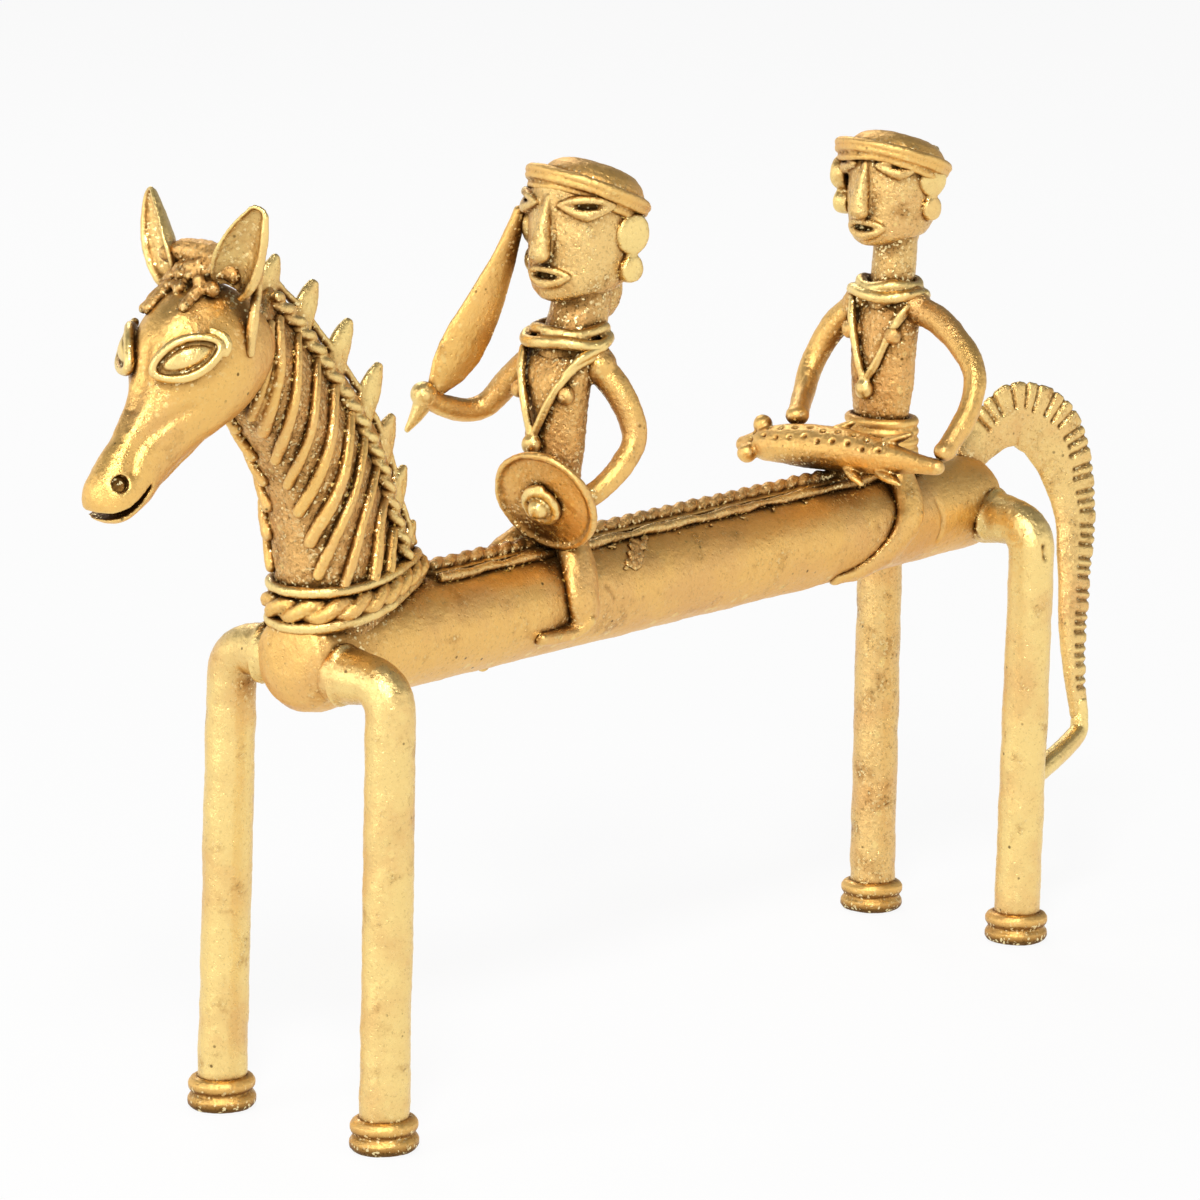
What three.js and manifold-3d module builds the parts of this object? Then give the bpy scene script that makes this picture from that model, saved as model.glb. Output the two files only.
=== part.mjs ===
// Cast brass horse with a long tubular body, carrying two riders.
// Millimetres, +Z up. The horse faces -X and its left side is -Y.

import * as THREE from 'three';
import { mergeVertices } from 'three/addons/utils/BufferGeometryUtils.js';
import Module from 'manifold-3d';

const wasm = await Module();
wasm.setup();

// Fit
const clearance = 0.3;

// Barrel of the horse
const barrelRadius = 9.4;
const rumpRadius = 9.1;
const chestLength = 12.5;
const axisRise = 1.9;

// Length of the horse, from the fore legs to the hind legs, and what stands out beyond them
const legSpan = 184.1;
const chestReach = 5.15;
const rumpReach = 7.15;

// Legs and hooves
const legRadius = 4.4;
const stubHeight = 81.8;
const legBendRadius = 5.2;
const foreLegSpread = 19.1;
const hindLegSpread = 17.6;
const legLean = 1.2;
const hoofRadius = 6.1;
const hoofHeight = 5.7;
const hoofSole = 1.4;

// Neck and mane
const neckHalfWidth = 8.6;
const neckTaper = 0.72;
const crestThread = 0.75;
const spikeWidth = 6;
const spikeThickness = 2.4;
const braidWidth = 2.0;
const braidHeight = 1.2;
const ribWidth = 1.5;
const ribHeight = 0.95;
const ribCount = 14;

// Collar
const collarThread = 0.9;
const collarBraidHeight = 1.75;
const collarBraidDepth = 1.35;

// Horse head
const headWidthScale = 1;
const muzzleHoleRadius = 1.15;
const mouthGap = 1.3;
const eyeLength = 13.4;
const eyeHeight = 7.6;
const eyeThread = 0.75;
const earLength = 16.5;
const earHalfWidth = 4.9;
const earThickness = 1.5;

// Saddle strip
const stripHalfWidth = 2.3;
const stripThickness = 0.9;
const stripFromChest = 36.8;
const stripFromRump = 18.2;
const cordRadius = 0.85;
const beadPitch = 3;
const beadThread = 0.6;
const beadRadius = 0.95;

// Tail
const tailThickness = 2.6;
const tailWidthScale = 1;
const tailTipDrop = 10;

// Riders
const neckThread = 1.05;
const garlandThread = 0.8;
const beltThread = 1;
const shieldRadius = 10.3;
const shieldThickness = 1.6;
const bladeThickness = 2.6;
const pommelRadius = 2.4;
const capBrim = 1.6;
const chestDiscRadius = 1.65;

const foreLegX = -legSpan / 2;
const hindLegX = legSpan / 2;
const chestX = foreLegX - chestReach;
const rumpX = hindLegX + rumpReach;
const stripFront = chestX + stripFromChest;
const stripRear = rumpX - stripFromRump;
const barrelAxis = stubHeight + axisRise;
const barrelTop = barrelAxis + barrelRadius;
const seatTop = barrelTop + stripThickness + beadThread + clearance * 3;
const seatGap = 8;

// The two riders. x is along the horse, rises are above the seat, face sizes are on the head itself
const riders = [
  {
    name: 'front_rider',
    seatX: -26.6,
    torso: [
      [0, -0.6, 4.4, 5.6],
      [8.5, 0, 4, 5.4],
      [18.5, 0.5, 4.2, 6],
      [27, 0.7, 4.6, 7],
      [31.5, 2, 4.2, 7.4],
      [34, 3, 3.2, 5.4],
    ],
    chestDiscs: [
      [-2.2, -5.8, 26],
      [-2.2, 5.8, 26],
    ],
    cap: { x: -18.7, y: -0.4, rise: 60, radius: 11.8, tilt: 0.42, roll: 0.09, dome: 4.9 },
    head: {
      x: -19.3,
      y: -0.3,
      chin: 42.2,
      top: 60.5,
      radius: 10,
      neck: 5.3,
      neckX: -23.3,
      neckFoot: 34.4,
      eyes: 59.6,
      eyeTall: 1.85,
      noseTop: 60.6,
      noseLow: 50.9,
      mouth: 47,
      lipTall: 1.25,
      ear: 54,
      earSize: 3.8,
      earOut: [0.9, 0.9],
      earBack: [1.7, -1.5],
      drop: 47.8,
      dropSize: 2.6,
    },
    rings: [
      [-22.6, 6.5, 6.6, 36.2],
      [-23.2, 6.2, 8, 34.2],
    ],
    garland: {
      strands: [
        [
          [3.8, -7.8, 33],
          [-1.8, -6.9, 31.3],
          [-3.8, -5.1, 28.6],
          [-4.9, -2.3, 23.7],
          [-5, 0.6, 18.1],
        ],
        [
          [-1, 6.3, 33],
          [-3.6, 4.6, 28.6],
          [-4.9, 2.6, 23.7],
          [-5, 1.1, 18.1],
        ],
      ],
      bead: [-5, 0.8, 16.7],
      beadRadius: 1.75,
    },
    arms: {
      left: [
        [-22.6, -6.2, 31.2],
        [-20.8, -10.6, 25.6],
        [-20, -13.3, 18.5],
        [-23.5, -13.2, 13.5],
        [-28.2, -11.6, 9.4],
        [-31.6, -10.2, 7.9],
      ],
      right: [
        [-23.2, 6, 31.6],
        [-24, 12, 26.2],
        [-25.6, 16.2, 21.4],
        [-29, 18.2, 20.3],
        [-34, 19.6, 21.6],
      ],
    },
    armRadii: [2.6, 2.3, 2, 1.85, 1.8],
    legs: {
      left: [
        [-27.2, 22, 3.6],
        [-28.6, 50, 2],
        [-29.6, 78, 1.7],
        [-29.2, 100, 1.6],
        [-31.5, 111, 1.5],
        [-36, 115, 1.4],
        [-39.6, 115, 1.2],
      ],
      right: [
        [-27.4, 22, 3.6],
        [-31, 46, 2.4],
        [-34.5, 75, 1.7],
        [-35, 105, 1.6],
        [-36, 130, 1.5],
        [-38.5, 149, 1.8],
        [-41, 160, 2.6],
      ],
    },
    legRadii: [2.8, 2.9, 2.8, 2.5, 2, 1.5],
  },
  {
    name: 'rear_rider',
    seatX: 69.2,
    torso: [
      [0, 0, 4.2, 5.4],
      [8, -0.2, 3.8, 5.6],
      [15, -0.1, 4.2, 6.7],
      [22, 0.2, 4.4, 7],
      [28.5, 1, 4.2, 7],
      [31, 1.2, 3, 4.8],
    ],
    chestDiscs: [
      [-3, -5.4, 24.6],
      [-3, 5.4, 24.6],
    ],
    cap: { x: 71, y: 0.3, rise: 56.3, radius: 11.3, tilt: 0.36, roll: 0.02, dome: 4.2 },
    head: {
      x: 71.3,
      y: 0,
      chin: 41.5,
      top: 57.5,
      radius: 8.8,
      neck: 4.2,
      neckX: 70.4,
      neckFoot: 31.4,
      eyes: 56.8,
      eyeTall: 1.65,
      noseTop: 57.6,
      noseLow: 48.2,
      mouth: 45,
      lipTall: 1.25,
      ear: 53.8,
      earSize: 3.4,
      earOut: [0.7, 2.3],
      earBack: [0.6, -3.4],
      drop: 48.4,
      dropSize: 2.4,
    },
    rings: [
      [70.7, 5.5, 5.6, 33.1],
      [70.4, 5.6, 7.4, 31.2],
    ],
    garland: {
      strands: [
        [
          [2.5, -7, 30.8],
          [-2.6, -6, 28.2],
          [-4.2, -4.6, 25],
          [-5, -1.9, 19],
          [-5, 0.4, 15.6],
        ],
        [
          [-2, 5.9, 30.6],
          [-4, 4.6, 26.5],
          [-5, 2.6, 20.6],
          [-5, 0.9, 15.6],
        ],
      ],
      bead: [-4.9, 0.6, 13.9],
      beadRadius: 1.8,
    },
    arms: {
      left: [
        [70.5, -5.5, 30],
        [70, -13.4, 27],
        [67.4, -22.4, 20.5],
        [62.8, -25, 13],
        [56.2, -24.8, 6.6],
      ],
      right: [
        [70, 5.5, 29.3],
        [68.6, 11, 24.5],
        [66, 14.2, 17.5],
        [61, 12.4, 12.2],
        [54.4, 8.6, 9.2],
      ],
    },
    armRadii: [2.5, 2.3, 2.1, 2, 1.9],
    legs: {
      left: [
        [67.8, 22, 3.4],
        [67, 50, 1.8],
        [65.8, 75, 1.4],
        [62.5, 100, 1.2],
        [58.5, 120, 1.1],
        [53.5, 136, 1],
        [48.5, 143, 0.9],
      ],
      right: [
        [67.8, 22, 3.4],
        [67, 50, 1.8],
        [65.8, 75, 1.4],
        [62.5, 100, 1.2],
        [58.5, 120, 1.1],
        [54.5, 134, 1],
        [50.5, 141, 0.9],
      ],
    },
    legRadii: [2.5, 2.5, 2.4, 2.3, 2, 1.6],
  },
];

const brassColours = { gold: 0xc99a4a, pale: 0xd9b066, deep: 0xa8772f };

const at = (x, y, z) => new THREE.Vector3(x, y, z);

// Value read along a row of evenly spaced stations, smoothed between them
function along(values, u) {
  if (values.length === 1) return values[0];
  const place = Math.min(Math.max(u, 0), 1) * (values.length - 1);
  const left = Math.min(Math.floor(place), values.length - 2);
  return THREE.MathUtils.lerp(values[left], values[left + 1], place - left);
}

// Closed body skinned over rings that all hold the same number of points
function skin(rings) {
  const count = rings[0].length;
  const positions = rings.flat().flatMap((p) => [p.x, p.y, p.z]);
  const faces = [];
  rings.slice(1).forEach((ring, r) => {
    for (let i = 0; i < count; i++) {
      const j = (i + 1) % count;
      const low = r * count;
      const high = low + count;
      faces.push(low + i, low + j, high + j, low + i, high + j, high + i);
    }
  });
  const cap = (ring, start, turned) => {
    const middle = ring.reduce((sum, p) => sum.add(p), at(0, 0, 0)).divideScalar(count);
    const centre = positions.length / 3;
    positions.push(middle.x, middle.y, middle.z);
    for (let i = 0; i < count; i++) {
      const j = (i + 1) % count;
      faces.push(centre, start + (turned ? j : i), start + (turned ? i : j));
    }
  };
  cap(rings[0], 0, true);
  cap(rings.at(-1), (rings.length - 1) * count, false);
  const geometry = new THREE.BufferGeometry();
  geometry.setAttribute('position', new THREE.Float32BufferAttribute(positions, 3));
  geometry.setIndex(faces);
  return geometry;
}

// Manifold solid of a closed geometry, faces pointing out
function solid(geometry) {
  const plain = geometry.clone();
  plain.deleteAttribute('normal');
  plain.deleteAttribute('uv');
  const merged = mergeVertices(plain, 1e-4);
  const source = merged.index.array;
  const corner = merged.attributes.position;
  const triangles = [];
  let volume = 0;
  for (let i = 0; i < source.length; i += 3) {
    const [a, b, c] = [source[i], source[i + 1], source[i + 2]];
    if (a === b || b === c || a === c) continue;
    const [p, q, r] = [a, b, c].map((k) => new THREE.Vector3().fromBufferAttribute(corner, k));
    volume += p.dot(q.cross(r));
    triangles.push(a, b, c);
  }
  if (volume < 0) triangles.reverse();
  return new wasm.Manifold(
    new wasm.Mesh({
      numProp: 3,
      vertProperties: new Float32Array(corner.array),
      triVerts: new Uint32Array(triangles),
    }),
  );
}

// Plain geometry of a solid
function geometryOf(shape) {
  const made = shape.getMesh();
  const geometry = new THREE.BufferGeometry();
  const positions = [];
  for (let i = 0; i < made.vertProperties.length; i += made.numProp) {
    positions.push(...made.vertProperties.slice(i, i + 3));
  }
  geometry.setAttribute('position', new THREE.Float32BufferAttribute(positions, 3));
  geometry.setIndex([...made.triVerts]);
  geometry.computeVertexNormals();
  return geometry;
}

// The same solid with its skin moved outwards, the space that a neighbour keeps clear of
function grown(shape, distance = clearance * 1.15) {
  const geometry = geometryOf(shape);
  const corner = geometry.attributes.position;
  const normal = geometry.attributes.normal;
  for (let i = 0; i < corner.count; i++) {
    corner.setXYZ(
      i,
      corner.getX(i) + normal.getX(i) * distance,
      corner.getY(i) + normal.getY(i) * distance,
      corner.getZ(i) + normal.getZ(i) * distance,
    );
  }
  return solid(geometry);
}

const join = (shapes) => shapes.reduce((sum, shape) => sum.add(shape));
const largest = (shape) => shape.decompose().sort((a, b) => b.volume() - a.volume())[0];
const carve = (shape, neighbours) =>
  largest(neighbours.reduce((rest, other) => rest.subtract(grown(other)), shape));

// Rod along a smooth path. Its half width along `across` and its half depth are rows of stations
function rod({ points, radii, depths = radii, sides = 8, steps = 12, across = null, round = true }) {
  const path = new THREE.CatmullRomCurve3(points, false, 'centripetal');
  path.arcLengthDivisions = 200;
  const frames = path.computeFrenetFrames(steps, false);
  const ring = (index, reach, share) => {
    const u = index / steps;
    const tangent = path.getTangentAt(u);
    const side = across
      ? across.clone().addScaledVector(tangent, -across.dot(tangent)).normalize()
      : frames.normals[index];
    const up = tangent.clone().cross(side).normalize();
    const width = along(radii, u);
    const depth = along(depths, u);
    const centre = path.getPointAt(u).addScaledVector(tangent, reach * Math.min(width, depth));
    return Array.from({ length: sides }, (_, k) => {
      const angle = (k / sides) * Math.PI * 2;
      return centre
        .clone()
        .addScaledVector(side, Math.cos(angle) * width * share)
        .addScaledVector(up, Math.sin(angle) * depth * share);
    });
  };
  const rings = Array.from({ length: steps + 1 }, (_, index) => ring(index, 0, 1));
  if (round) {
    rings.unshift(ring(0, -0.7, 0.62));
    rings.push(ring(steps, 0.7, 0.62));
  }
  return solid(skin(rings));
}

// Low ridge of thread lying on a surface: rows of surface points with their normals
function ridge(places, halfWidths, height, lift = clearance * 1.2) {
  const outline = [
    [-1, 0],
    [-0.6, 1],
    [0.6, 1],
    [1, 0],
  ];
  const rings = places.map(({ point, normal }, i) => {
    const before = places[Math.max(i - 1, 0)].point;
    const after = places[Math.min(i + 1, places.length - 1)].point;
    const tangent = after.clone().sub(before).normalize();
    const side = tangent.clone().cross(normal).normalize();
    const width = along(halfWidths, i / (places.length - 1));
    return outline.map(([s, h]) =>
      point
        .clone()
        .addScaledVector(side, s * width)
        .addScaledVector(normal, lift + h * height * (width / Math.max(...halfWidths))),
    );
  });
  return solid(skin(rings));
}

function ball(centre, radius, sides = 8, rings = 5, squash = 1) {
  const geometry = new THREE.SphereGeometry(radius, sides, rings);
  geometry.scale(1, 1, squash);
  geometry.translate(centre.x, centre.y, centre.z);
  return solid(geometry);
}

// Body of revolution: profile of [radius, height] pairs that starts and ends on the axis
function turned(profile, segments, place = new THREE.Matrix4()) {
  const geometry = new THREE.LatheGeometry(
    profile.map(([radius, height]) => new THREE.Vector2(radius, height)),
    segments,
  );
  geometry.rotateX(Math.PI / 2);
  geometry.applyMatrix4(place);
  return solid(geometry);
}

// Matrix that stands the Z axis along a direction at a place
function standing(centre, direction) {
  const turn = new THREE.Quaternion().setFromUnitVectors(at(0, 0, 1), direction.clone().normalize());
  return new THREE.Matrix4().compose(centre, turn, at(1, 1, 1));
}

const figurine = new THREE.Group();

function place(name, shape, tone = 'gold') {
  const material = new THREE.MeshStandardMaterial({
    color: brassColours[tone],
    roughness: 0.42,
    metalness: 1,
  });
  const mesh = new THREE.Mesh(geometryOf(shape), material);
  mesh.name = name;
  figurine.add(mesh);
  return shape;
}

// Barrel: turned along X, with a rounded chest and a rump that is nearly flat
function horseBody() {
  const chest = [
    [0, 0],
    [0.5, 0.03],
    [0.8, 0.14],
    [0.95, 0.4],
    [1, 1],
  ].map(([share, reach]) => [barrelRadius * share, chestX + chestLength * reach]);
  const rump = [
    [1, -17],
    [0.985, -5],
    [0.9, -1.9],
    [0.62, -0.3],
    [0, 0],
  ].map(([share, reach]) => [rumpRadius * share, rumpX + reach]);
  const middle = [
    [barrelRadius, -30],
    [barrelRadius, 30],
  ];
  const along = new THREE.Matrix4().makeRotationY(Math.PI / 2);
  along.setPosition(0, 0, barrelAxis);
  return turned([...chest, ...middle, ...rump], 24, along);
}

const body = place('horse_body', horseBody());

// Legs: a stub out of the barrel, a bend and a straight rod, leaning a little, into the hoof
function leg({ x, spread, side, topSpread, rise }) {
  const topX = x + legLean;
  const inner = Math.min(barrelRadius, topSpread) * 0.55;
  const bendY = topSpread - legBendRadius;
  const stubZ = stubHeight + rise;
  const bendZ = stubZ - legBendRadius;
  const sides = 12;
  const ring = (centreX, y, z, tilt) =>
    Array.from({ length: sides }, (_, k) => {
      const angle = (k / sides) * Math.PI * 2;
      const reach = Math.sin(angle) * legRadius;
      return at(
        centreX + Math.cos(angle) * legRadius,
        side * (y + reach * Math.sin(tilt)),
        z + reach * Math.cos(tilt),
      );
    });
  const rings = [ring(topX, inner, stubZ, 0)];
  const turns = 5;
  for (let i = 0; i <= turns; i++) {
    const tilt = ((i / turns) * Math.PI) / 2;
    const out = bendY + legBendRadius * Math.sin(tilt);
    rings.push(ring(topX, out, bendZ + legBendRadius * Math.cos(tilt), tilt));
  }
  rings.push(ring(x, spread, hoofHeight, Math.PI / 2));
  rings.push(ring(x, spread, hoofSole + clearance, Math.PI / 2));
  return carve(solid(skin(rings)), [body]);
}

// Hoof: a sole with two rolled turns of thread, open on top for the leg
function hoof(x, y) {
  const turn = hoofHeight / 2;
  const socket = legRadius + clearance;
  const profile = [
    [0, 0],
    [hoofRadius * 0.86, 0],
    [hoofRadius, turn * 0.3],
    [hoofRadius, turn * 0.7],
    [hoofRadius * 0.87, turn],
    [hoofRadius * 0.98, turn * 1.32],
    [hoofRadius * 0.98, turn * 1.68],
    [hoofRadius * 0.84, hoofHeight],
    [socket, hoofHeight],
    [socket, hoofSole],
    [0, hoofSole],
  ];
  return turned(profile, 14, new THREE.Matrix4().makeTranslation(x, y, 0));
}

const corners = [
  { side: -1, end: 'fore', hoofName: 'front', x: foreLegX, spread: foreLegSpread, topSpread: 19.1, rise: 0 },
  { side: 1, end: 'fore', hoofName: 'front', x: foreLegX, spread: foreLegSpread, topSpread: 17.8, rise: 1.3 },
  { side: -1, end: 'hind', hoofName: 'rear', x: hindLegX, spread: hindLegSpread, topSpread: 18.2, rise: 0 },
  { side: 1, end: 'hind', hoofName: 'rear', x: hindLegX, spread: hindLegSpread, topSpread: 18.1, rise: 0 },
];
const sideName = (side) => (side < 0 ? 'left' : 'right');
const legs = {};
corners.forEach((corner) => {
  const { side, end, hoofName, x, spread } = corner;
  const legName = `${end}leg_${sideName(side)}`;
  legs[legName] = place(legName, leg(corner), 'pale');
  place(`hoof_${hoofName}_${sideName(side)}`, hoof(x, side * spread), 'deep');
});

// Head of the horse: stations along its axis give the upper and lower line and the half width
const headRear = at(chestX - 10.8, 0, barrelTop + 53.9);
const headAxis = at(-34, 0, -29).normalize();
const headUp = at(headAxis.z, 0, -headAxis.x);
const headStations = [
  { reach: 0.5, upper: 4.5, lower: -5.5, half: 4.5 },
  { reach: 3, upper: 9.5, lower: -9.6, half: 8 },
  { reach: 7.5, upper: 12, lower: -11.3, half: 9.6 },
  { reach: 14, upper: 13, lower: -11.3, half: 9.9 },
  { reach: 20, upper: 11, lower: -9.6, half: 9 },
  { reach: 24.5, upper: 7.6, lower: -8.5, half: 6.9 },
  { reach: 28.5, upper: 5.8, lower: -7.8, half: 5.6 },
  { reach: 33, upper: 4.8, lower: -7.4, half: 5 },
  { reach: 38.5, upper: 4.4, lower: -7.4, half: 4.9 },
  { reach: 42.8, upper: 3.4, lower: -6, half: 4.8 },
  { reach: 45.4, upper: 1.5, lower: -4.4, half: 3.8 },
  { reach: 46.4, upper: -0.4, lower: -2.9, half: 1.8 },
];
const onHead = (reach, rise, y = 0) =>
  headRear.clone().addScaledVector(headAxis, reach).addScaledVector(headUp, rise).add(at(0, y, 0));

function horseHead() {
  const sides = 16;
  const rings = headStations.map(({ reach, upper, lower, half }) =>
    Array.from({ length: sides }, (_, k) => {
      const angle = (k / sides) * Math.PI * 2;
      const middle = (upper + lower) / 2;
      const height = (upper - lower) / 2;
      return onHead(
        reach,
        middle + height * Math.cos(angle),
        half * headWidthScale * Math.sin(angle) * (1 - 0.12 * Math.cos(angle)),
      );
    }),
  );
  const cut = new THREE.BoxGeometry(12, 20, mouthGap);
  cut.applyMatrix4(standing(onHead(44.4, -3), headUp));
  const nostril = (side) =>
    turned(
      [
        [0, -1.6],
        [muzzleHoleRadius, -1.6],
        [muzzleHoleRadius, 3],
        [0, 3],
      ],
      8,
      standing(onHead(42, 1.6, side * 4.1), at(-0.45, side, 0.1)),
    );
  const whole = solid(skin(rings));
  return largest(whole.subtract(solid(cut)).subtract(nostril(-1)).subtract(nostril(1)));
}

const head = place('horse_head', horseHead());

// Neck: a skin from the front line to the crest line, widest near the front. Both lines, the
// spikes and the head are placed from the chest
const neckLines = [
  { front: [1.9, -7], crest: [32.7, -4], half: 1.02 },
  { front: [1.7, 3], crest: [33.2, 4.4], half: 1 },
  { front: [0.4, 13], crest: [30.4, 13.9], half: 0.98 },
  { front: [-1.4, 21], crest: [27.2, 23.5], half: 0.96 },
  { front: [-5.3, 28], crest: [20.7, 33.1], half: 0.93 },
  { front: [-9.8, 34], crest: [12, 42.5], half: 0.9 },
  { front: [-12.8, 41], crest: [4, 50.6], half: 0.84 },
  { front: [-16.3, 49], crest: [-3.8, 57], half: 0.66 },
];
const neckCurve = (key) =>
  new THREE.CatmullRomCurve3(neckLines.map((line) => at(chestX + line[key][0], 0, barrelTop + line[key][1])));
const neckFront = neckCurve('front');
const neckCrest = neckCurve('crest');

function onNeck(share, angle) {
  const t = (1 - Math.cos(angle)) / 2;
  const point = neckFront.getPoint(share).lerp(neckCrest.getPoint(share), t);
  const half = along(neckLines.map((line) => line.half), share) * neckHalfWidth;
  point.y = -half * Math.sin(angle) * (1 - neckTaper * t) * 1.32;
  return point;
}

// Place on the skin of the neck with its outward normal; angle 0 is the front, pi the crest
function neckPlace(share, angle) {
  const step = 0.01;
  const point = onNeck(share, angle);
  const up = onNeck(share + step, angle).sub(onNeck(share - step, angle));
  const round = onNeck(share, angle + step).sub(onNeck(share, angle - step));
  const normal = round.cross(up).normalize();
  const outward = point.clone().sub(neckFront.getPoint(share).lerp(neckCrest.getPoint(share), 0.45));
  if (normal.dot(outward) < 0) normal.negate();
  return { point, normal };
}

function neckSkin() {
  const sides = 16;
  const rows = 10;
  return solid(
    skin(
      Array.from({ length: rows + 1 }, (_, row) =>
        Array.from({ length: sides }, (_, k) => onNeck(row / rows, (k / sides) * Math.PI * 2)),
      ),
    ),
  );
}

const neck = place('neck', carve(neckSkin(), [body, head]));

// Crest: a thread along the back of the neck with leaf spikes that stand on it
const spikes = [
  { tip: [-1.2, 61], length: 9 },
  { tip: [7.5, 55.7], length: 9.5 },
  { tip: [16.9, 47.9], length: 9.5 },
  { tip: [24, 39.5], length: 9.5 },
  { tip: [28.2, 29.8], length: 8.5 },
  { tip: [30.7, 20.5], length: 7.5 },
  { tip: [33.8, 10.4], length: 3.4 },
];

function maneCrest() {
  const rows = 12;
  const line = Array.from({ length: rows + 1 }, (_, i) => {
    const spot = neckPlace(0.19 + (0.78 * i) / rows, Math.PI);
    return spot.point.clone().addScaledVector(spot.normal, clearance + crestThread * 0.9);
  });
  const thread = rod({ points: line, radii: [crestThread], sides: 5, steps: 10 });
  const leaf = ({ tip, length }) => {
    const top = at(chestX + tip[0], 0, barrelTop + tip[1]);
    const lean = at(0.42, 0, 0.9).normalize();
    const foot = top.clone().addScaledVector(lean, -length);
    return rod({
      points: [foot, foot.clone().lerp(top, 0.5), top.clone().addScaledVector(lean, -0.6)],
      radii: [0.84, 1, 0.75, 0.2].map((share) => (share * spikeWidth) / 2),
      depths: [0.84, 1, 0.8, 0.3].map((share) => (share * spikeThickness) / 2),
      sides: 6,
      steps: 3,
      across: at(0.9, 0, -0.42),
    });
  };
  return carve(join([thread, ...spikes.map(leaf)]), [neck]);
}

const crest = place('mane_crest', maneCrest(), 'pale');

// Twisted thread beside the crest, drawn as a row of low swellings
const braidAngle = (share) => Math.PI * (0.875 - 0.03 * share);

function swollenRidge(spot, length, pitch, width, height) {
  const bumps = Math.round(length / pitch);
  const places = Array.from({ length: bumps * 2 + 1 }, (_, i) => spot(i / (bumps * 2)));
  const widths = places.map((_, i) => (i % 2 ? width / 2 : width * 0.36));
  return ridge(places, widths, height);
}

function maneBraid(side) {
  const spot = (u) => {
    const share = 0.2 + 0.74 * u;
    return neckPlace(share, braidAngle(share) * -side);
  };
  return carve(swollenRidge(spot, 58, 3.2, braidWidth, braidHeight), [crest, head]);
}

const braids = {
  left: place('mane_braid_left', maneBraid(-1), 'pale'),
  right: place('mane_braid_right', maneBraid(1), 'pale'),
};

// Collar: a plain thread above and below a twisted band, tipped up towards the withers.
// Each loop lies on the skin of the neck at a share of its height that runs from front to rear
const collarLoops = {
  upper: { front: 0.143, rear: 0.15, width: collarThread, height: collarThread, bumps: 0 },
  braid: { front: 0.097, rear: 0.116, width: collarBraidDepth, height: collarBraidHeight, bumps: 15 },
  lower: { front: 0.05, rear: 0.088, width: collarThread, height: collarThread, bumps: 0 },
};

function collarRing({ front, rear, width, height, bumps }) {
  const steps = bumps ? bumps * 2 : 20;
  const sides = 5;
  const rings = Array.from({ length: steps }, (_, i) => {
    const angle = (i / steps) * Math.PI * 2;
    const share = THREE.MathUtils.lerp(front, rear, (1 - Math.cos(angle)) / 2);
    const { point, normal } = neckPlace(share, angle);
    const out = at(normal.x, normal.y, 0).normalize();
    const waist = bumps && i % 2 ? 0.78 : 1;
    const centre = point.addScaledVector(out, width + clearance * 1.3);
    return Array.from({ length: sides }, (_, k) => {
      const turn = (k / sides) * Math.PI * 2;
      return centre
        .clone()
        .addScaledVector(out, Math.cos(turn) * width * waist)
        .add(at(0, 0, Math.sin(turn) * height * waist));
    });
  });
  return solid(closedSkin(rings));
}

// Ring-shaped skin: the last ring joins the first
function closedSkin(rings) {
  const count = rings[0].length;
  const faces = [];
  rings.forEach((_, r) => {
    const low = r * count;
    const high = ((r + 1) % rings.length) * count;
    for (let i = 0; i < count; i++) {
      const j = (i + 1) % count;
      faces.push(low + i, low + j, high + j, low + i, high + j, high + i);
    }
  });
  const geometry = new THREE.BufferGeometry();
  const positions = rings.flat().flatMap((p) => [p.x, p.y, p.z]);
  geometry.setAttribute('position', new THREE.Float32BufferAttribute(positions, 3));
  geometry.setIndex(faces);
  return geometry;
}

const upperRing = place('collar_upper_ring', collarRing(collarLoops.upper), 'pale');
const lowerRing = place('collar_lower_ring', carve(collarRing(collarLoops.lower), [body]), 'pale');
place(
  'collar_braid',
  carve(collarRing(collarLoops.braid), [body, upperRing, lowerRing]),
  'deep',
);

// Ribs of the mane: from the braid round the side of the neck, falling towards the front
function maneRibs(side) {
  const hem = 0.2;
  const border = ridge(
    Array.from({ length: 9 }, (_, i) => {
      const share = hem + (0.92 - hem) * (i / 8);
      return neckPlace(share, (braidAngle(share) - 0.27) * -side);
    }),
    [ribWidth * 0.45],
    ribHeight * 0.7,
  );
  const rib = (index) => {
    const top = THREE.MathUtils.lerp(0.27, 1, index / (ribCount - 1));
    const drop = 0.36;
    const places = [];
    for (let i = 0; i <= 5; i++) {
      const u = i / 5;
      const share = top - drop * u ** 1.15;
      if (share < hem - 0.02) break;
      const angle = THREE.MathUtils.lerp(braidAngle(top) - 0.25, 0.42, u);
      places.push(neckPlace(share, angle * -side));
    }
    return ridge(places, [ribWidth * 0.42, ribWidth * 0.5, ribWidth * 0.56], ribHeight);
  };
  const ribs = Array.from({ length: ribCount }, (_, index) => rib(index));
  return carve(join([border, ...ribs]), [head, braids[sideName(side)], upperRing]);
}

place('mane_ribs_left', maneRibs(-1));
place('mane_ribs_right', maneRibs(1));

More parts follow.
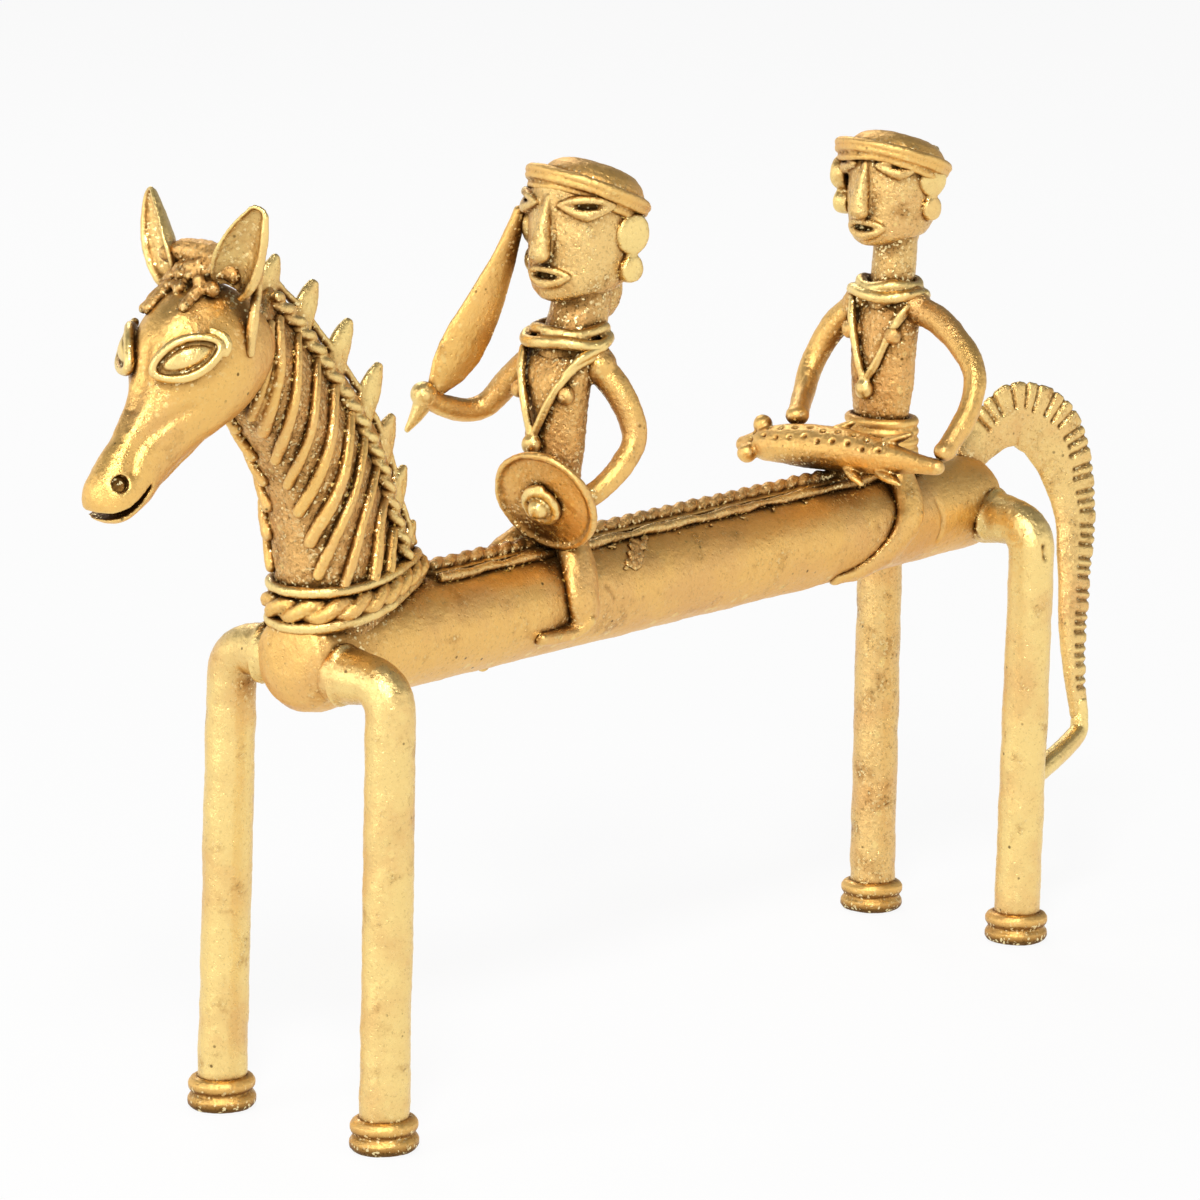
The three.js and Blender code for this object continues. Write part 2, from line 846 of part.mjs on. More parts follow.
// Eyes of the horse: a lens with an almond loop of thread round it
function horseEye(side) {
  const centre = onHead(19, 8.5, side * 6.9);
  const outward = at(-0.72, side * 0.64, 0.26).normalize();
  const length = at(0.62, side * 0.72, 0.42);
  length.addScaledVector(outward, -length.dot(outward)).normalize();
  const height = outward.clone().cross(length).normalize();
  const almond = (angle, grow) => {
    const reach = Math.cos(angle);
    const rise = Math.sin(angle) * (1 - 0.25 * reach * reach);
    return centre
      .clone()
      .addScaledVector(length, (reach * (eyeLength + grow)) / 2)
      .addScaledVector(height, (rise * (eyeHeight + grow)) / 2)
      .addScaledVector(outward, -0.9 * reach * reach);
  };
  const ringSteps = 12;
  const loop = Array.from({ length: ringSteps }, (_, i) => {
    const angle = (i / ringSteps) * Math.PI * 2;
    const here = almond(angle, -eyeThread * 2);
    const out = almond(angle, 2).sub(here).normalize();
    return Array.from({ length: 5 }, (_, k) => {
      const turn = (k / 5) * Math.PI * 2;
      return here
        .clone()
        .addScaledVector(out, Math.cos(turn) * eyeThread)
        .addScaledVector(outward, Math.sin(turn) * eyeThread * 1.9);
    });
  });
  const lens = skin(
    [
      [-1.6, 0.98],
      [0.1, 0.98],
      [0.9, 0.62],
      [1.2, 0.22],
    ].map(([lift, share]) =>
      Array.from({ length: ringSteps }, (_, i) => {
        const spot = almond((i / ringSteps) * Math.PI * 2, -eyeThread * 2);
        return centre.clone().lerp(spot, share).addScaledVector(outward, lift);
      }),
    ),
  );
  return carve(join([solid(closedSkin(loop)), solid(lens)]), [head]);
}

place('horse_eye_left', horseEye(-1), 'pale');
place('horse_eye_right', horseEye(1), 'pale');

// Ears: cupped leaves that lean outwards
function horseEar(side) {
  const foot = onHead(3.6, 9.8, side * 6.4);
  const tip = at(chestX - 19.8, side * 11.2, barrelTop + 68.6);
  const lean = tip.clone().sub(foot).normalize();
  const hollow = at(-0.86, side * 0.42, 0.1);
  hollow.addScaledVector(lean, -hollow.dot(lean)).normalize();
  const across = lean.clone().cross(hollow).normalize();
  const widths = [0.55, 0.86, 1, 0.96, 0.8, 0.54, 0.14];
  const rows = widths.length - 1;
  const rings = widths.map((share, row) => {
    const half = earHalfWidth * share;
    const centre = foot.clone().addScaledVector(lean, (earLength * row) / rows);
    const cup = half * 0.6;
    const edge = (s, lift) =>
      centre
        .clone()
        .addScaledVector(across, s * half)
        .addScaledVector(hollow, cup * s * s + lift);
    const thin = earThickness * Math.max(share, 0.35);
    return [
      edge(-1, 0),
      edge(-0.5, 0),
      edge(0, 0),
      edge(0.5, 0),
      edge(1, 0),
      edge(0.95, -thin * 0.5),
      edge(0.5, -thin),
      edge(0, -thin),
      edge(-0.5, -thin),
      edge(-0.95, -thin * 0.5),
    ];
  });
  return carve(solid(skin(rings)), [head, neck, crest]);
}

const ears = {
  left: place('horse_ear_left', horseEar(-1), 'pale'),
  right: place('horse_ear_right', horseEar(1), 'pale'),
};

// Forelock: a pad at the poll with short strands over the forehead
function forelock() {
  const pad = rod({
    points: [onHead(1.5, 13.6, -3.8), onHead(2, 15, 0), onHead(1.5, 13.6, 3.8)],
    radii: [2.2, 2.9, 2.2],
    sides: 7,
    steps: 3,
  });
  const strand = (y, reach) =>
    rod({
      points: [onHead(2.5, 13.4, y * 0.5), onHead(7.5, 13.6, y * 0.85), onHead(reach, 13 - y * y * 0.06, y)],
      radii: [1.3, 1.2, 0.9],
      sides: 5,
      steps: 3,
    });
  const strands = [
    [-5.6, 12.4],
    [-1.9, 13.8],
    [1.9, 14.2],
    [5.6, 12.8],
  ].map(([y, reach]) => strand(y, reach));
  return carve(join([pad, ...strands]), [head, ears.left, ears.right]);
}

place('forelock', forelock(), 'deep');

// Strip along the top of the barrel: a band bent over it, edge cords and a row of beads
function barrelBand(from, to, half, inner, outer) {
  const sides = 4;
  const arc = half / barrelRadius;
  const row = (x) => {
    const top = [];
    const bottom = [];
    const radius = x > rumpX - 17 ? rumpRadius + ((barrelRadius - rumpRadius) * 0.5) : barrelRadius;
    for (let k = 0; k <= sides; k++) {
      const angle = THREE.MathUtils.lerp(-arc, arc, k / sides);
      const spot = (reach) =>
        at(x, Math.sin(angle) * (radius + reach), barrelAxis + Math.cos(angle) * (radius + reach));
      top.push(spot(outer));
      bottom.unshift(spot(inner));
    }
    return [...top, ...bottom];
  };
  return solid(skin([from, 0, to].map(row)));
}

const strip = place(
  'saddle_strip',
  barrelBand(stripFront, stripRear, stripHalfWidth, clearance, clearance + stripThickness),
);

function saddleCord(side) {
  const reach = barrelRadius + cordRadius + clearance;
  const angle = (stripHalfWidth + clearance + cordRadius * 1.1) / barrelRadius;
  const spot = (x) => at(x, side * Math.sin(angle) * reach, barrelAxis + Math.cos(angle) * reach);
  return rod({
    points: [spot(stripFront), spot(0), spot(stripRear - 2)],
    radii: [cordRadius],
    sides: 6,
    steps: 3,
  });
}

const cords = {
  left: place('saddle_cord_left', saddleCord(-1), 'pale'),
  right: place('saddle_cord_right', saddleCord(1), 'pale'),
};

function saddleBeading() {
  const from = stripFront + 1;
  const to = stripRear - 2;
  const count = Math.round((to - from) / beadPitch);
  const base = barrelTop + clearance * 2 + stripThickness;
  const underRider = (x) => riders.some(({ seatX }) => Math.abs(x - seatX) < seatGap);
  const rings = Array.from({ length: count * 2 + 1 }, (_, i) => {
    const x = from + ((to - from) * i) / (count * 2);
    const bead = i % 2 === 1 && !underRider(x);
    const high = bead ? beadRadius * 1.6 : beadThread;
    const wide = bead ? beadRadius : beadRadius * 0.6;
    return [
      at(x, -wide, base),
      at(x, wide, base),
      at(x, 0, base + high),
    ];
  });
  return solid(skin(rings));
}

const beading = place('saddle_beading', saddleBeading(), 'deep');

// Tail: a flat sickle blade that leaves the rump, arches over and falls towards the left hind leg
const tailHalfWidths = [3.2, 4.6, 6.4, 7, 6.6, 5.6, 4.6, 4.1, 3.6, 3.3, 2.9, 2.3, 1.8];
const tailLine = [
  [-3.2, 0, 7.6],
  [1.8, 0, 11],
  [5.2, -1.3, 13.9],
  [9.8, -2.8, 15.2],
  [15.6, -4.8, 12.4],
  [19.4, -6.4, 6],
  [20.8, -8.3, -3],
  [20.3, -9.4, -9],
  [18.3, -10.8, -17],
  [16.4, -12.2, -26.4],
  [15.8, -13.4, -36],
  [16.1, -14.4, -43.4],
];

function tailBlade() {
  const centres = tailLine.map(([x, y, z]) => at(rumpX + x, y, barrelAxis + z));
  return carve(
    rod({
      points: centres,
      radii: [tailThickness / 2],
      depths: tailHalfWidths.map((half) => half * tailWidthScale),
      sides: 8,
      steps: 18,
      across: at(0.48, 0.87, 0),
    }),
    [body],
  );
}

const tail = place('tail', tailBlade(), 'pale');

// Thread that ties the end of the tail to the left hind leg
function tailTip() {
  const end = tailLine.at(-1);
  const from = at(rumpX + end[0], end[1], barrelAxis + end[2]);
  const to = at(hindLegX + legLean * 0.4, -hindLegSpread, from.z - tailTipDrop);
  return carve(
    rod({
      points: [from.clone().add(at(0, 0, 1)), from.clone().add(at(-2, -0.5, -3.5)), to],
      radii: [1.5, 2.1, 1.7],
      sides: 6,
      steps: 5,
    }),
    [tail, legs.hindleg_left],
  );
}

place('tail_tip', tailTip(), 'pale');

// Rider: torso of stacked ovals, each [height above the seat, x, half depth, half width]
function riderTorso({ seatX, torso, chestDiscs }) {
  const sides = 12;
  const rings = torso.map(([rise, x, depth, width]) =>
    Array.from({ length: sides }, (_, k) => {
      const angle = (k / sides) * Math.PI * 2;
      return at(
        seatX + x + Math.cos(angle) * depth,
        Math.sin(angle) * width,
        seatTop + rise,
      );
    }),
  );
  const discs = chestDiscs.map(([x, y, rise]) =>
    ball(at(seatX + x, y, seatTop + rise), chestDiscRadius, 6, 4),
  );
  return join([solid(skin(rings)), ...discs]);
}

// Cap: a brim with a low dome, tipped back
function riderCap({ cap }) {
  const { x, y, rise, radius, tilt, roll, dome } = cap;
  const direction = at(Math.sin(tilt), -Math.sin(roll), 1).normalize();
  const profile = [
    [0, 0],
    [radius * 0.97, 0],
    [radius, capBrim * 0.5],
    [radius * 0.95, capBrim],
    [radius * 0.84, capBrim + dome * 0.22],
    [radius * 0.7, capBrim + dome * 0.62],
    [radius * 0.4, capBrim + dome * 0.92],
    [0, capBrim + dome],
  ];
  return turned(profile, 16, standing(at(x, y, seatTop + rise), direction));
}

// Head and neck in one, with nose, eye loops and lips raised on the face
function riderHead({ head: face }, cap) {
  const { x, y, chin, top, radius, neck: neckRadius, neckFoot, neckX } = face;
  const height = top - chin;
  const outline = [
    [0, 0.45, 0.42],
    [0.06, 0.72, 0.24],
    [0.18, 0.88, 0.12],
    [0.36, 0.96, 0.05],
    [0.6, 1, 0.02],
    [0.8, 1, 0],
    [1.2, 0.97, 0],
  ];
  const sides = 12;
  const skull = outline.map(([share, wide, forward]) =>
    Array.from({ length: sides }, (_, k) => {
      const angle = (k / sides) * Math.PI * 2;
      return at(
        x - forward * radius + Math.cos(angle) * radius * wide,
        y + Math.sin(angle) * radius * wide * 0.96,
        seatTop + chin + height * share + (Math.cos(angle) + 1) * radius * wide * (share < 0.1 ? 0.22 : 0),
      );
    }),
  );
  const onFace = (angle, rise, lift = 0) => {
    const share = (rise - chin) / height;
    const wide = along([0.66, 0.88, 0.95, 0.98, 1, 1, 1], share) * radius + lift;
    const forward = along([0.28, 0.12, 0.06, 0.04, 0.02, 0, 0], share) * radius;
    return at(x - forward - Math.cos(angle) * wide, y - Math.sin(angle) * wide, seatTop + rise);
  };
  const loop = (angle, rise, spread, tall, thick) => {
    const steps = 8;
    const rings = Array.from({ length: steps }, (_, i) => {
      const turn = (i / steps) * Math.PI * 2;
      const across = angle + spread * Math.cos(turn);
      const up = rise + tall * Math.sin(turn) * (1 - 0.35 * Math.cos(turn) ** 2);
      const centre = onFace(across, up, thick * 0.35);
      const out = onFace(across, up, 1).sub(onFace(across, up)).normalize();
      const side = at(-out.y, out.x, 0).multiplyScalar(Math.cos(turn)).add(at(0, 0, Math.sin(turn)));
      side.normalize();
      return Array.from({ length: 4 }, (_, k) => {
        const bend = (k / 4) * Math.PI * 2;
        return centre
          .clone()
          .addScaledVector(out, Math.cos(bend) * thick)
          .addScaledVector(side, Math.sin(bend) * thick);
      });
    });
    return solid(closedSkin(rings));
  };
  const nose = rod({
    points: [
      onFace(0, face.noseTop, -0.6),
      onFace(0, (face.noseTop + face.noseLow) / 2, 0.9),
      onFace(0, face.noseLow, 1.7),
    ],
    radii: [0.8, 1.3, 1.75],
    depths: [1, 1.5, 1.7],
    sides: 6,
    steps: 3,
    across: at(0, 1, 0),
  });
  const neckRod = rod({
    points: [
      at(neckX, 0, seatTop + neckFoot),
      at((neckX + x) / 2 + 1, y / 2, seatTop + (neckFoot + chin) / 2),
      at(x + 1.2, y, seatTop + chin + height * 0.3),
    ],
    radii: [neckRadius],
    sides: 10,
    steps: 3,
    round: false,
  });
  const eye = (side) => loop(side * 0.76, face.eyes, 0.46, face.eyeTall, 0.62);
  const lips = loop(0, face.mouth, 0.46, face.lipTall, 0.75);
  return carve(join([solid(skin(skull)), neckRod, nose, eye(-1), eye(1), lips]), [cap]);
}

// Ear: a disc on the side of the head with a ring-shaped drop below it
function riderEar({ head: face }, head, cap, side) {
  const { x, y, radius } = face;
  const index = side < 0 ? 0 : 1;
  const back = face.earBack[index];
  const reach = radius * 0.95 + face.earOut[index] - 0.7;
  const disc = (rise, size, out) =>
    turned(
      [
        [0, -2],
        [size, -2],
        [size, 0.4],
        [size * 0.75, 1],
        [0, 1.3],
      ],
      10,
      standing(at(x + back, y + side * (reach + out), seatTop + rise), at(-0.12, side, 0)),
    );
  return carve(join([disc(face.ear, face.earSize, 0), disc(face.drop, face.dropSize, -0.1)]), [head, cap]);
}

// Band of stacked threads round an oval, each [x, half depth, half width, rise above the seat]
function ovalBand(threads, thick, steps = 12) {
  const rings = Array.from({ length: steps }, (_, i) => {
    const angle = (i / steps) * Math.PI * 2;
    const spot = ([x, depth, width, rise], out, up) =>
      at(
        x + Math.cos(angle) * (depth + out * thick),
        Math.sin(angle) * (width + out * thick),
        seatTop + rise + up * thick,
      );
    const outside = threads.flatMap((thread) => [
      spot(thread, 0.45, 0.85),
      spot(thread, 1, 0),
      spot(thread, 0.45, -0.85),
    ]);
    const inside = [spot(threads.at(-1), -0.85, -0.4), spot(threads[0], -0.85, 0.4)];
    return [...outside, ...inside];
  });
  return solid(closedSkin(rings));
}

function riderNeckRings({ rings }) {
  return ovalBand(rings, neckThread);
}

// Garland: a V of thread down the chest with a pendant bead
function riderGarland({ seatX, garland }, neighbours) {
  const onBody = ([x, y, rise]) => at(seatX + x, y, seatTop + rise);
  const strands = garland.strands.map((points) =>
    rod({ points: points.map(onBody), radii: [garlandThread], sides: 5, steps: 5 }),
  );
  const pendant = ball(onBody(garland.bead), garland.beadRadius, 6, 4);
  return carve(join([...strands, pendant]), neighbours);
}

function riderLimb(places, radii, neighbours, steps = 8) {
  const points = places.map(([x, y, z]) => at(x, y, z));
  return carve(rod({ points, radii, sides: 7, steps }), neighbours);
}

// Leg of a rider: laid on the side of the barrel, given by x and the turn round the barrel
function riderLegPlaces(route, side) {
  return route.map(([x, degrees, lift]) => {
    const turn = THREE.MathUtils.degToRad(degrees);
    const reach = barrelRadius + lift;
    return [x, side * Math.sin(turn) * reach, barrelAxis + Math.cos(turn) * reach];
  });
}

const seated = {};
riders.forEach((rider) => {
  const { name } = rider;
  const torso = place(`${name}_torso`, riderTorso(rider));
  const cap = place(`${name}_cap`, riderCap(rider), 'deep');
  const head = place(`${name}_head`, carve(riderHead(rider, cap), [torso]), 'pale');
  const lobes = [-1, 1].map((side) =>
    place(`${name}_ear_${sideName(side)}`, riderEar(rider, head, cap, side), 'pale'),
  );
  const neckRings = place(`${name}_neck_rings`, carve(riderNeckRings(rider), [torso, head]), 'pale');
  const garland = place(`${name}_garland`, riderGarland(rider, [torso, neckRings]), 'pale');
  seated[name] = { torso, cap, head, lobes, neckRings, garland };
});

// Shield of the front rider: a dished disc with a rolled rim, and a boss in a ring of thread
const shieldCentre = at(-34.2, -5.4, seatTop + 8.2);
const shieldFacing = at(-0.89, -0.13, -0.4);

const shieldProfile = [
  [0, 0],
  [shieldRadius * 0.96, 0],
  [shieldRadius, shieldThickness * 0.5],
  [shieldRadius * 0.96, shieldThickness],
  [shieldRadius * 0.88, shieldThickness * 0.6],
  [shieldRadius * 0.4, shieldThickness * 0.9],
  [0, shieldThickness],
];
const bossProfile = [
  [0, clearance],
  [3.9, clearance],
  [4.1, 1.2],
  [3.3, 1.9],
  [2.4, 1.1],
  [1.9, 2.6],
  [1.2, 3.4],
  [0, 3.6],
].map(([radius, height]) => [radius, height + shieldThickness]);
const shield = place(
  'shield',
  carve(turned(shieldProfile, 20, standing(shieldCentre, shieldFacing)), [
    body,
    strip,
    beading,
    cords.left,
    cords.right,
    seated.front_rider.torso,
    seated.front_rider.garland,
  ]),
);
place('shield_boss', turned(bossProfile, 10, standing(shieldCentre, shieldFacing)), 'pale');

// Sword of the front rider: a leaf blade held upright, and its pommel with a point
const bladeLine = [
  [-35.2, 20.4, 24.6],
  [-32.2, 18.2, 30],
  [-29.6, 16.3, 36],
  [-26.4, 13.6, 45],
  [-24.6, 11.3, 53.2],
  [-24, 10.6, 56.4],
].map(([x, y, rise]) => at(x, y, seatTop + rise));
const bladeHalfWidths = [1.8, 3.6, 4.4, 4.4, 3.9, 3.4, 2.8, 2.2, 1.7, 1.2];
const blade = place(
  'blade',
  carve(
    rod({
      points: bladeLine,
      radii: [bladeThickness / 2],
      depths: bladeHalfWidths,
      sides: 8,
      steps: 9,
      across: at(0.45, 0.89, 0),
    }),
    [seated.front_rider.head, seated.front_rider.cap, ...seated.front_rider.lobes],
  ),
);
const pommelCentre = at(-37.6, 21, seatTop + 23.9);
const pommel = place(
  'blade_pommel',
  carve(
    join([
      ball(pommelCentre, pommelRadius, 8, 6),
      rod({
        points: [
          pommelCentre.clone().add(at(0.2, 0, -1)),
          pommelCentre.clone().add(at(-0.8, 1, -3.8)),
          pommelCentre.clone().add(at(-1.9, 2.2, -6.4)),
        ],
        radii: [2, 1.5, 0.4],
        sides: 6,
        steps: 3,
      }),
    ]),
    [blade],
  ),
  'pale',
);

// Fish that the rear rider holds across the lap: body with eye bumps and fins
function heldFish() {
  const spine = [
    [50.4, 18, 3],
    [50.8, 12.6, 3.7],
    [51.4, 6, 4.3],
    [52.4, -5, 4.5],
    [53.3, -15, 4.1],
    [54, -24.6, 3.8],
  ].map(([x, y, rise]) => at(x, y, seatTop + rise));
  const trunk = rod({
    points: spine,
    radii: [1.7, 3.2, 3.9, 4.2, 4.2, 4, 3.5, 2.8, 2, 1.5],
    sides: 8,
    steps: 10,
  });
  const eyes = [
    [51.4, 14.6, 7],
    [47.6, 15.2, 2],
  ].map(([x, y, rise]) => ball(at(x, y, seatTop + rise), 1.8, 7, 5));
  const fin = (foot, tip) =>
    rod({
      points: [foot, tip].map(([x, y, rise]) => at(x, y, seatTop + rise)),
      radii: [1.1, 1.3, 0.4],
      depths: [0.8, 0.7, 0.3],
      sides: 6,
      steps: 2,
    });
  return join([
    trunk,
    ...eyes,
    fin([53.2, 0, 7], [54.4, -4.6, 9.6]),
    fin([54, -12, 6.6], [55.4, -17.4, 8.8]),
    fin([50.6, -6.6, 1.6], [49.4, -10.6, -0.6]),
    fin([51.6, -13.4, 1.6], [50.8, -18.4, 0.2]),
  ]);
}

const fish = place('fish', carve(heldFish(), [strip, beading, cords.left, cords.right, body]));

const belt = place(
  'waist_band',
  carve(
    ovalBand(
      [7.4, 5.6, 3.8].map((rise) => [69.1, 5.2, 6.8, rise]),
      beltThread,
    ),
    [seated.rear_rider.torso, fish],
  ),
  'deep',
);

riders.forEach(({ name, arms, armRadii, legs: routes, legRadii }) => {
  const { torso, garland, neckRings } = seated[name];
  const held = [shield, blade, pommel, fish, belt];
  const saddle = [torso, body, strip, cords.left, cords.right, beading, ...held];
  [-1, 1].forEach((side) => {
    const reach = arms[sideName(side)].map(([x, y, rise]) => [x, y, seatTop + rise]);
    const route = riderLegPlaces(routes[sideName(side)], side);
    const arm = riderLimb(reach, armRadii, [torso, garland, neckRings, ...held], 8);
    place(`${name}_arm_${sideName(side)}`, arm);
    place(`${name}_leg_${sideName(side)}`, riderLimb(route, legRadii, saddle, 9));
  });
});

// The origin is under the middle of the whole figurine, on the surface that it stands on
figurine.updateMatrixWorld(true);
const middle = new THREE.Box3().setFromObject(figurine).getCenter(at(0, 0, 0));
figurine.position.set(-middle.x, -middle.y, 0);

export default figurine;
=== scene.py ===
# Cast brass horse with a long tubular body, carrying two riders.
# The tables are in millimetres from the point midway between the hooves, +Z up; the horse faces -X
# and its left side is -Y. A piece becomes metres, in the frame of the solids, when it is finished.

import math

import bmesh
import bpy
import numpy as np
from mathutils import Matrix, Vector


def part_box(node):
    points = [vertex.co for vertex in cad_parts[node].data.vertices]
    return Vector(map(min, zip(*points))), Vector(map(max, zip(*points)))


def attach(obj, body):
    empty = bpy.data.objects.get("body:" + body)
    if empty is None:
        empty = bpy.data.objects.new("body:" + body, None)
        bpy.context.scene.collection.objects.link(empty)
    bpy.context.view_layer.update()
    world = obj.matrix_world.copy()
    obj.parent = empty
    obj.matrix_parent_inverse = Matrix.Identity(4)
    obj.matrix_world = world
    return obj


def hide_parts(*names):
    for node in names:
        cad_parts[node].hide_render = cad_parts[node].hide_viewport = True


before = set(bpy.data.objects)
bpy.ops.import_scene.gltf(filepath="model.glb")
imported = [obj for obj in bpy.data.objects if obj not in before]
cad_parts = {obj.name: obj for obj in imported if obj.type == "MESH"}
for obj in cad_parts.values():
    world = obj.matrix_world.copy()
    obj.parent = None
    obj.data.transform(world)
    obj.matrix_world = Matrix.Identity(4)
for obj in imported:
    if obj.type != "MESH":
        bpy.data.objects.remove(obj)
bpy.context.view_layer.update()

bl_info = {
    "name": "Cast brass horse with riders",
    "version": (1, 0, 0),
    "blender": (4, 5, 0),
    "location": "View3D > Sidebar > Figurine",
    "description": "Models a lost wax brass horse with a blade bearer and a fish bearer",
    "category": "Add Mesh",
}

MM = 0.001
SIDES = {"left": -1, "right": 1}
FULL_TURN = 2 * math.pi
# Golden section, its rest and the golden angle, which spread crumbs evenly
GOLDEN = 0.6180339
GOLDEN_REST = 0.3819
GOLDEN_ANGLE = 2.399
# Degrees of the rings that round the end of a strand
END_RINGS = (68, 45, 20)
# Spacing of the points of a pressed mark, in reaches, and how fast it fades
MARK_STEP = 0.4
MARK_FADE = 1.4
CRUMB_SQUASH = (1.2, 1.0, 0.85)
# Sizes of the two cloud patterns that make the wax uneven
WAVE_CELL = 6.0
GRAIN_CELL = 0.7


# Properties
def length(name, text, millimetres):
    return bpy.props.FloatProperty(
        name=name,
        description=text,
        default=millimetres * MM,
        min=0.0,
        precision=5,
        unit="LENGTH",
        subtype="DISTANCE",
    )


def colour(name, text, value):
    return bpy.props.FloatVectorProperty(
        name=name, description=text, default=value, size=3, min=0.0, max=1.0, subtype="COLOR"
    )


class FigurineSizes(bpy.types.PropertyGroup):
    """Main thicknesses of the casting"""

    barrel_radius: length("Barrel radius", "Half the thickness of the body of the horse", 9.4)
    rump_radius: length("Rump radius", "Half the thickness of the body at the tail", 9.1)
    leg_radius: length("Leg radius", "Half the thickness of a leg of the horse", 4.4)
    hoof_radius: length("Hoof radius", "Half the width of a hoof", 6.1)
    hoof_height: length("Hoof height", "Height of the two turns of a hoof", 5.7)
    rib_radius: length("Mane thread", "Radius of a thread on the side of the neck", 1.02)
    braid_radius: length("Mane braid", "Radius of one strand of the braid by the crest", 0.82)
    collar_radius: length("Collar thread", "Radius of the plain threads of the collar", 1.02)
    cord_radius: length("Saddle thread", "Radius of the edge threads of the saddle strip", 0.85)
    bead_radius: length("Bead radius", "Radius of a bead on the saddle strip", 1.3)
    tail_thickness: length("Tail thickness", "Thickness of the flat tail", 2.6)
    brim_height: length("Cap brim", "Height of the rolled brim of a cap", 2.3)
    shield_radius: length("Shield radius", "Half the width of the shield", 10.3)
    blade_thickness: length("Blade thickness", "Thickness of the raised blade", 2.4)
    fine_cell: length("Fine cell", "Cell of the mesh on small pieces", 0.26)
    broad_cell: length("Broad cell", "Cell of the mesh on the broad pieces", 0.46)


class FigurineColours(bpy.types.PropertyGroup):
    """Colours of the metal and of the table"""

    gold: colour("Brass", "Cast skin of the brass", (0.92, 0.565, 0.17))
    bright: colour("Worn brass", "Brass where hands have polished it", (0.98, 0.73, 0.28))
    blush: colour("Blush", "Reddish patches on the cast skin", (0.80, 0.46, 0.17))
    # The two brown colours below are also painted shade: cast_brass lays them over hollows, creases,
    # places between parts and near the table
    film_and_shade: colour("Film", "Thin brown film beside the hollows", (0.38, 0.165, 0.035))
    patina_and_shade: colour("Patina", "Brown and olive dirt in the hollows", (0.07, 0.036, 0.008))
    table: colour("Table", "Pale surface under the figurine", (0.93, 0.93, 0.93))


def mm(name):
    """A size of the property group in millimetres."""
    return getattr(bpy.context.scene.figurine_sizes, name) / MM


# Vectors and lines
def at(x, y, z):
    return np.array((x, y, z), float)


def unit(v):
    v = np.asarray(v, float)
    return v / np.maximum(np.linalg.norm(v, axis=-1, keepdims=True), 1e-9)


def blend(a, b, t):
    return a + (b - a) * t


def round_turn(count):
    """Evenly spaced angles of one full turn."""
    return np.arange(count) / count * FULL_TURN


def between(a, b, c, d, t):
    """Place at share t from b to c on the smooth line through four points."""
    bend = 2 * a - 5 * b + 4 * c - d
    twist = 3 * b - 3 * c + d - a
    return 0.5 * (2 * b + (c - a) * t + bend * t**2 + twist * t**3)


def walked(line):
    """Distance gone along a line at each of its points."""
    return np.concatenate([[0], np.cumsum(np.linalg.norm(np.diff(line, axis=0), axis=1))])


def smooth_line(points, pitch, closed=False):
    """Points about a pitch apart on the smooth line through the given ones."""
    p = np.asarray(points, float)
    if closed:
        run = np.vstack([p[-1:], p, p[:2]])
    else:
        run = np.vstack([2 * p[:1] - p[1:2], p, 2 * p[-1:] - p[-2:-1]])
    share = np.linspace(0, 1, 16, endpoint=False)[:, None]
    fine = [between(*four, share) for four in zip(run, run[1:], run[2:], run[3:])]
    fine.append(p[:1] if closed else p[-1:])
    line = np.vstack(fine)
    gone = walked(line)
    count = max(4, int(round(gone[-1] / pitch)) + 1)
    want = np.linspace(0, gone[-1], count, endpoint=not closed)
    return np.stack([np.interp(want, gone, line[:, k]) for k in range(3)], axis=1)


def stations(values, count):
    """A row of evenly spaced values read at count places."""
    values = np.atleast_1d(np.asarray(values, float))
    return np.interp(np.linspace(0, len(values) - 1, count), np.arange(len(values)), values)


def read_row(values, u):
    place = min(max(u, 0), 1) * (len(values) - 1)
    return float(np.interp(place, np.arange(len(values)), values))


def frames_along(line, across=None, closed=False):
    """Tangent, side and up at each point of a line; the sides are carried along or follow across."""
    if closed:
        tangent = unit(np.roll(line, -1, axis=0) - np.roll(line, 1, axis=0))
    else:
        tangent = unit(np.gradient(line, axis=0))
    if across is None:
        start = np.eye(3)[np.argmin(np.abs(tangent[0]))]
        side = [unit(start - tangent[0] * start.dot(tangent[0]))]
        for t in tangent[1:]:
            side.append(unit(side[-1] - t * side[-1].dot(t)))
        side = np.array(side)
    else:
        across = np.broadcast_to(np.asarray(across, float), line.shape)
        side = unit(across - tangent * (across * tangent).sum(1, keepdims=True))
    return tangent, side, np.cross(side, tangent)


def ovals(centres, side, up, widths, depths, count):
    """Rings of points, one for each centre."""
    turn = round_turn(count)
    wide = side[:, None] * (np.cos(turn)[None, :, None] * widths[:, None, None])
    deep = up[:, None] * (np.sin(turn)[None, :, None] * depths[:, None, None])
    return centres[:, None] + wide + deep


# Meshes
def deselect():
    if bpy.context.mode != "OBJECT":
        bpy.ops.object.mode_set(mode="OBJECT")
    bpy.ops.object.select_all(action="DESELECT")


def pick(obj):
    """Makes a piece the only selected one, and the active one."""
    deselect()
    obj.select_set(True)
    bpy.context.view_layer.objects.active = obj


def read(items, key):
    """Three numbers of each item of a mesh, as rows."""
    flat = np.empty(len(items) * 3, np.float32)
    items.foreach_get(key, flat)
    return flat.reshape(-1, 3).astype(float)


def points_of(obj):
    return read(obj.data.vertices, "co")


def move_points(obj, points):
    obj.data.vertices.foreach_set("co", np.asarray(points, np.float32).ravel())
    obj.data.update()


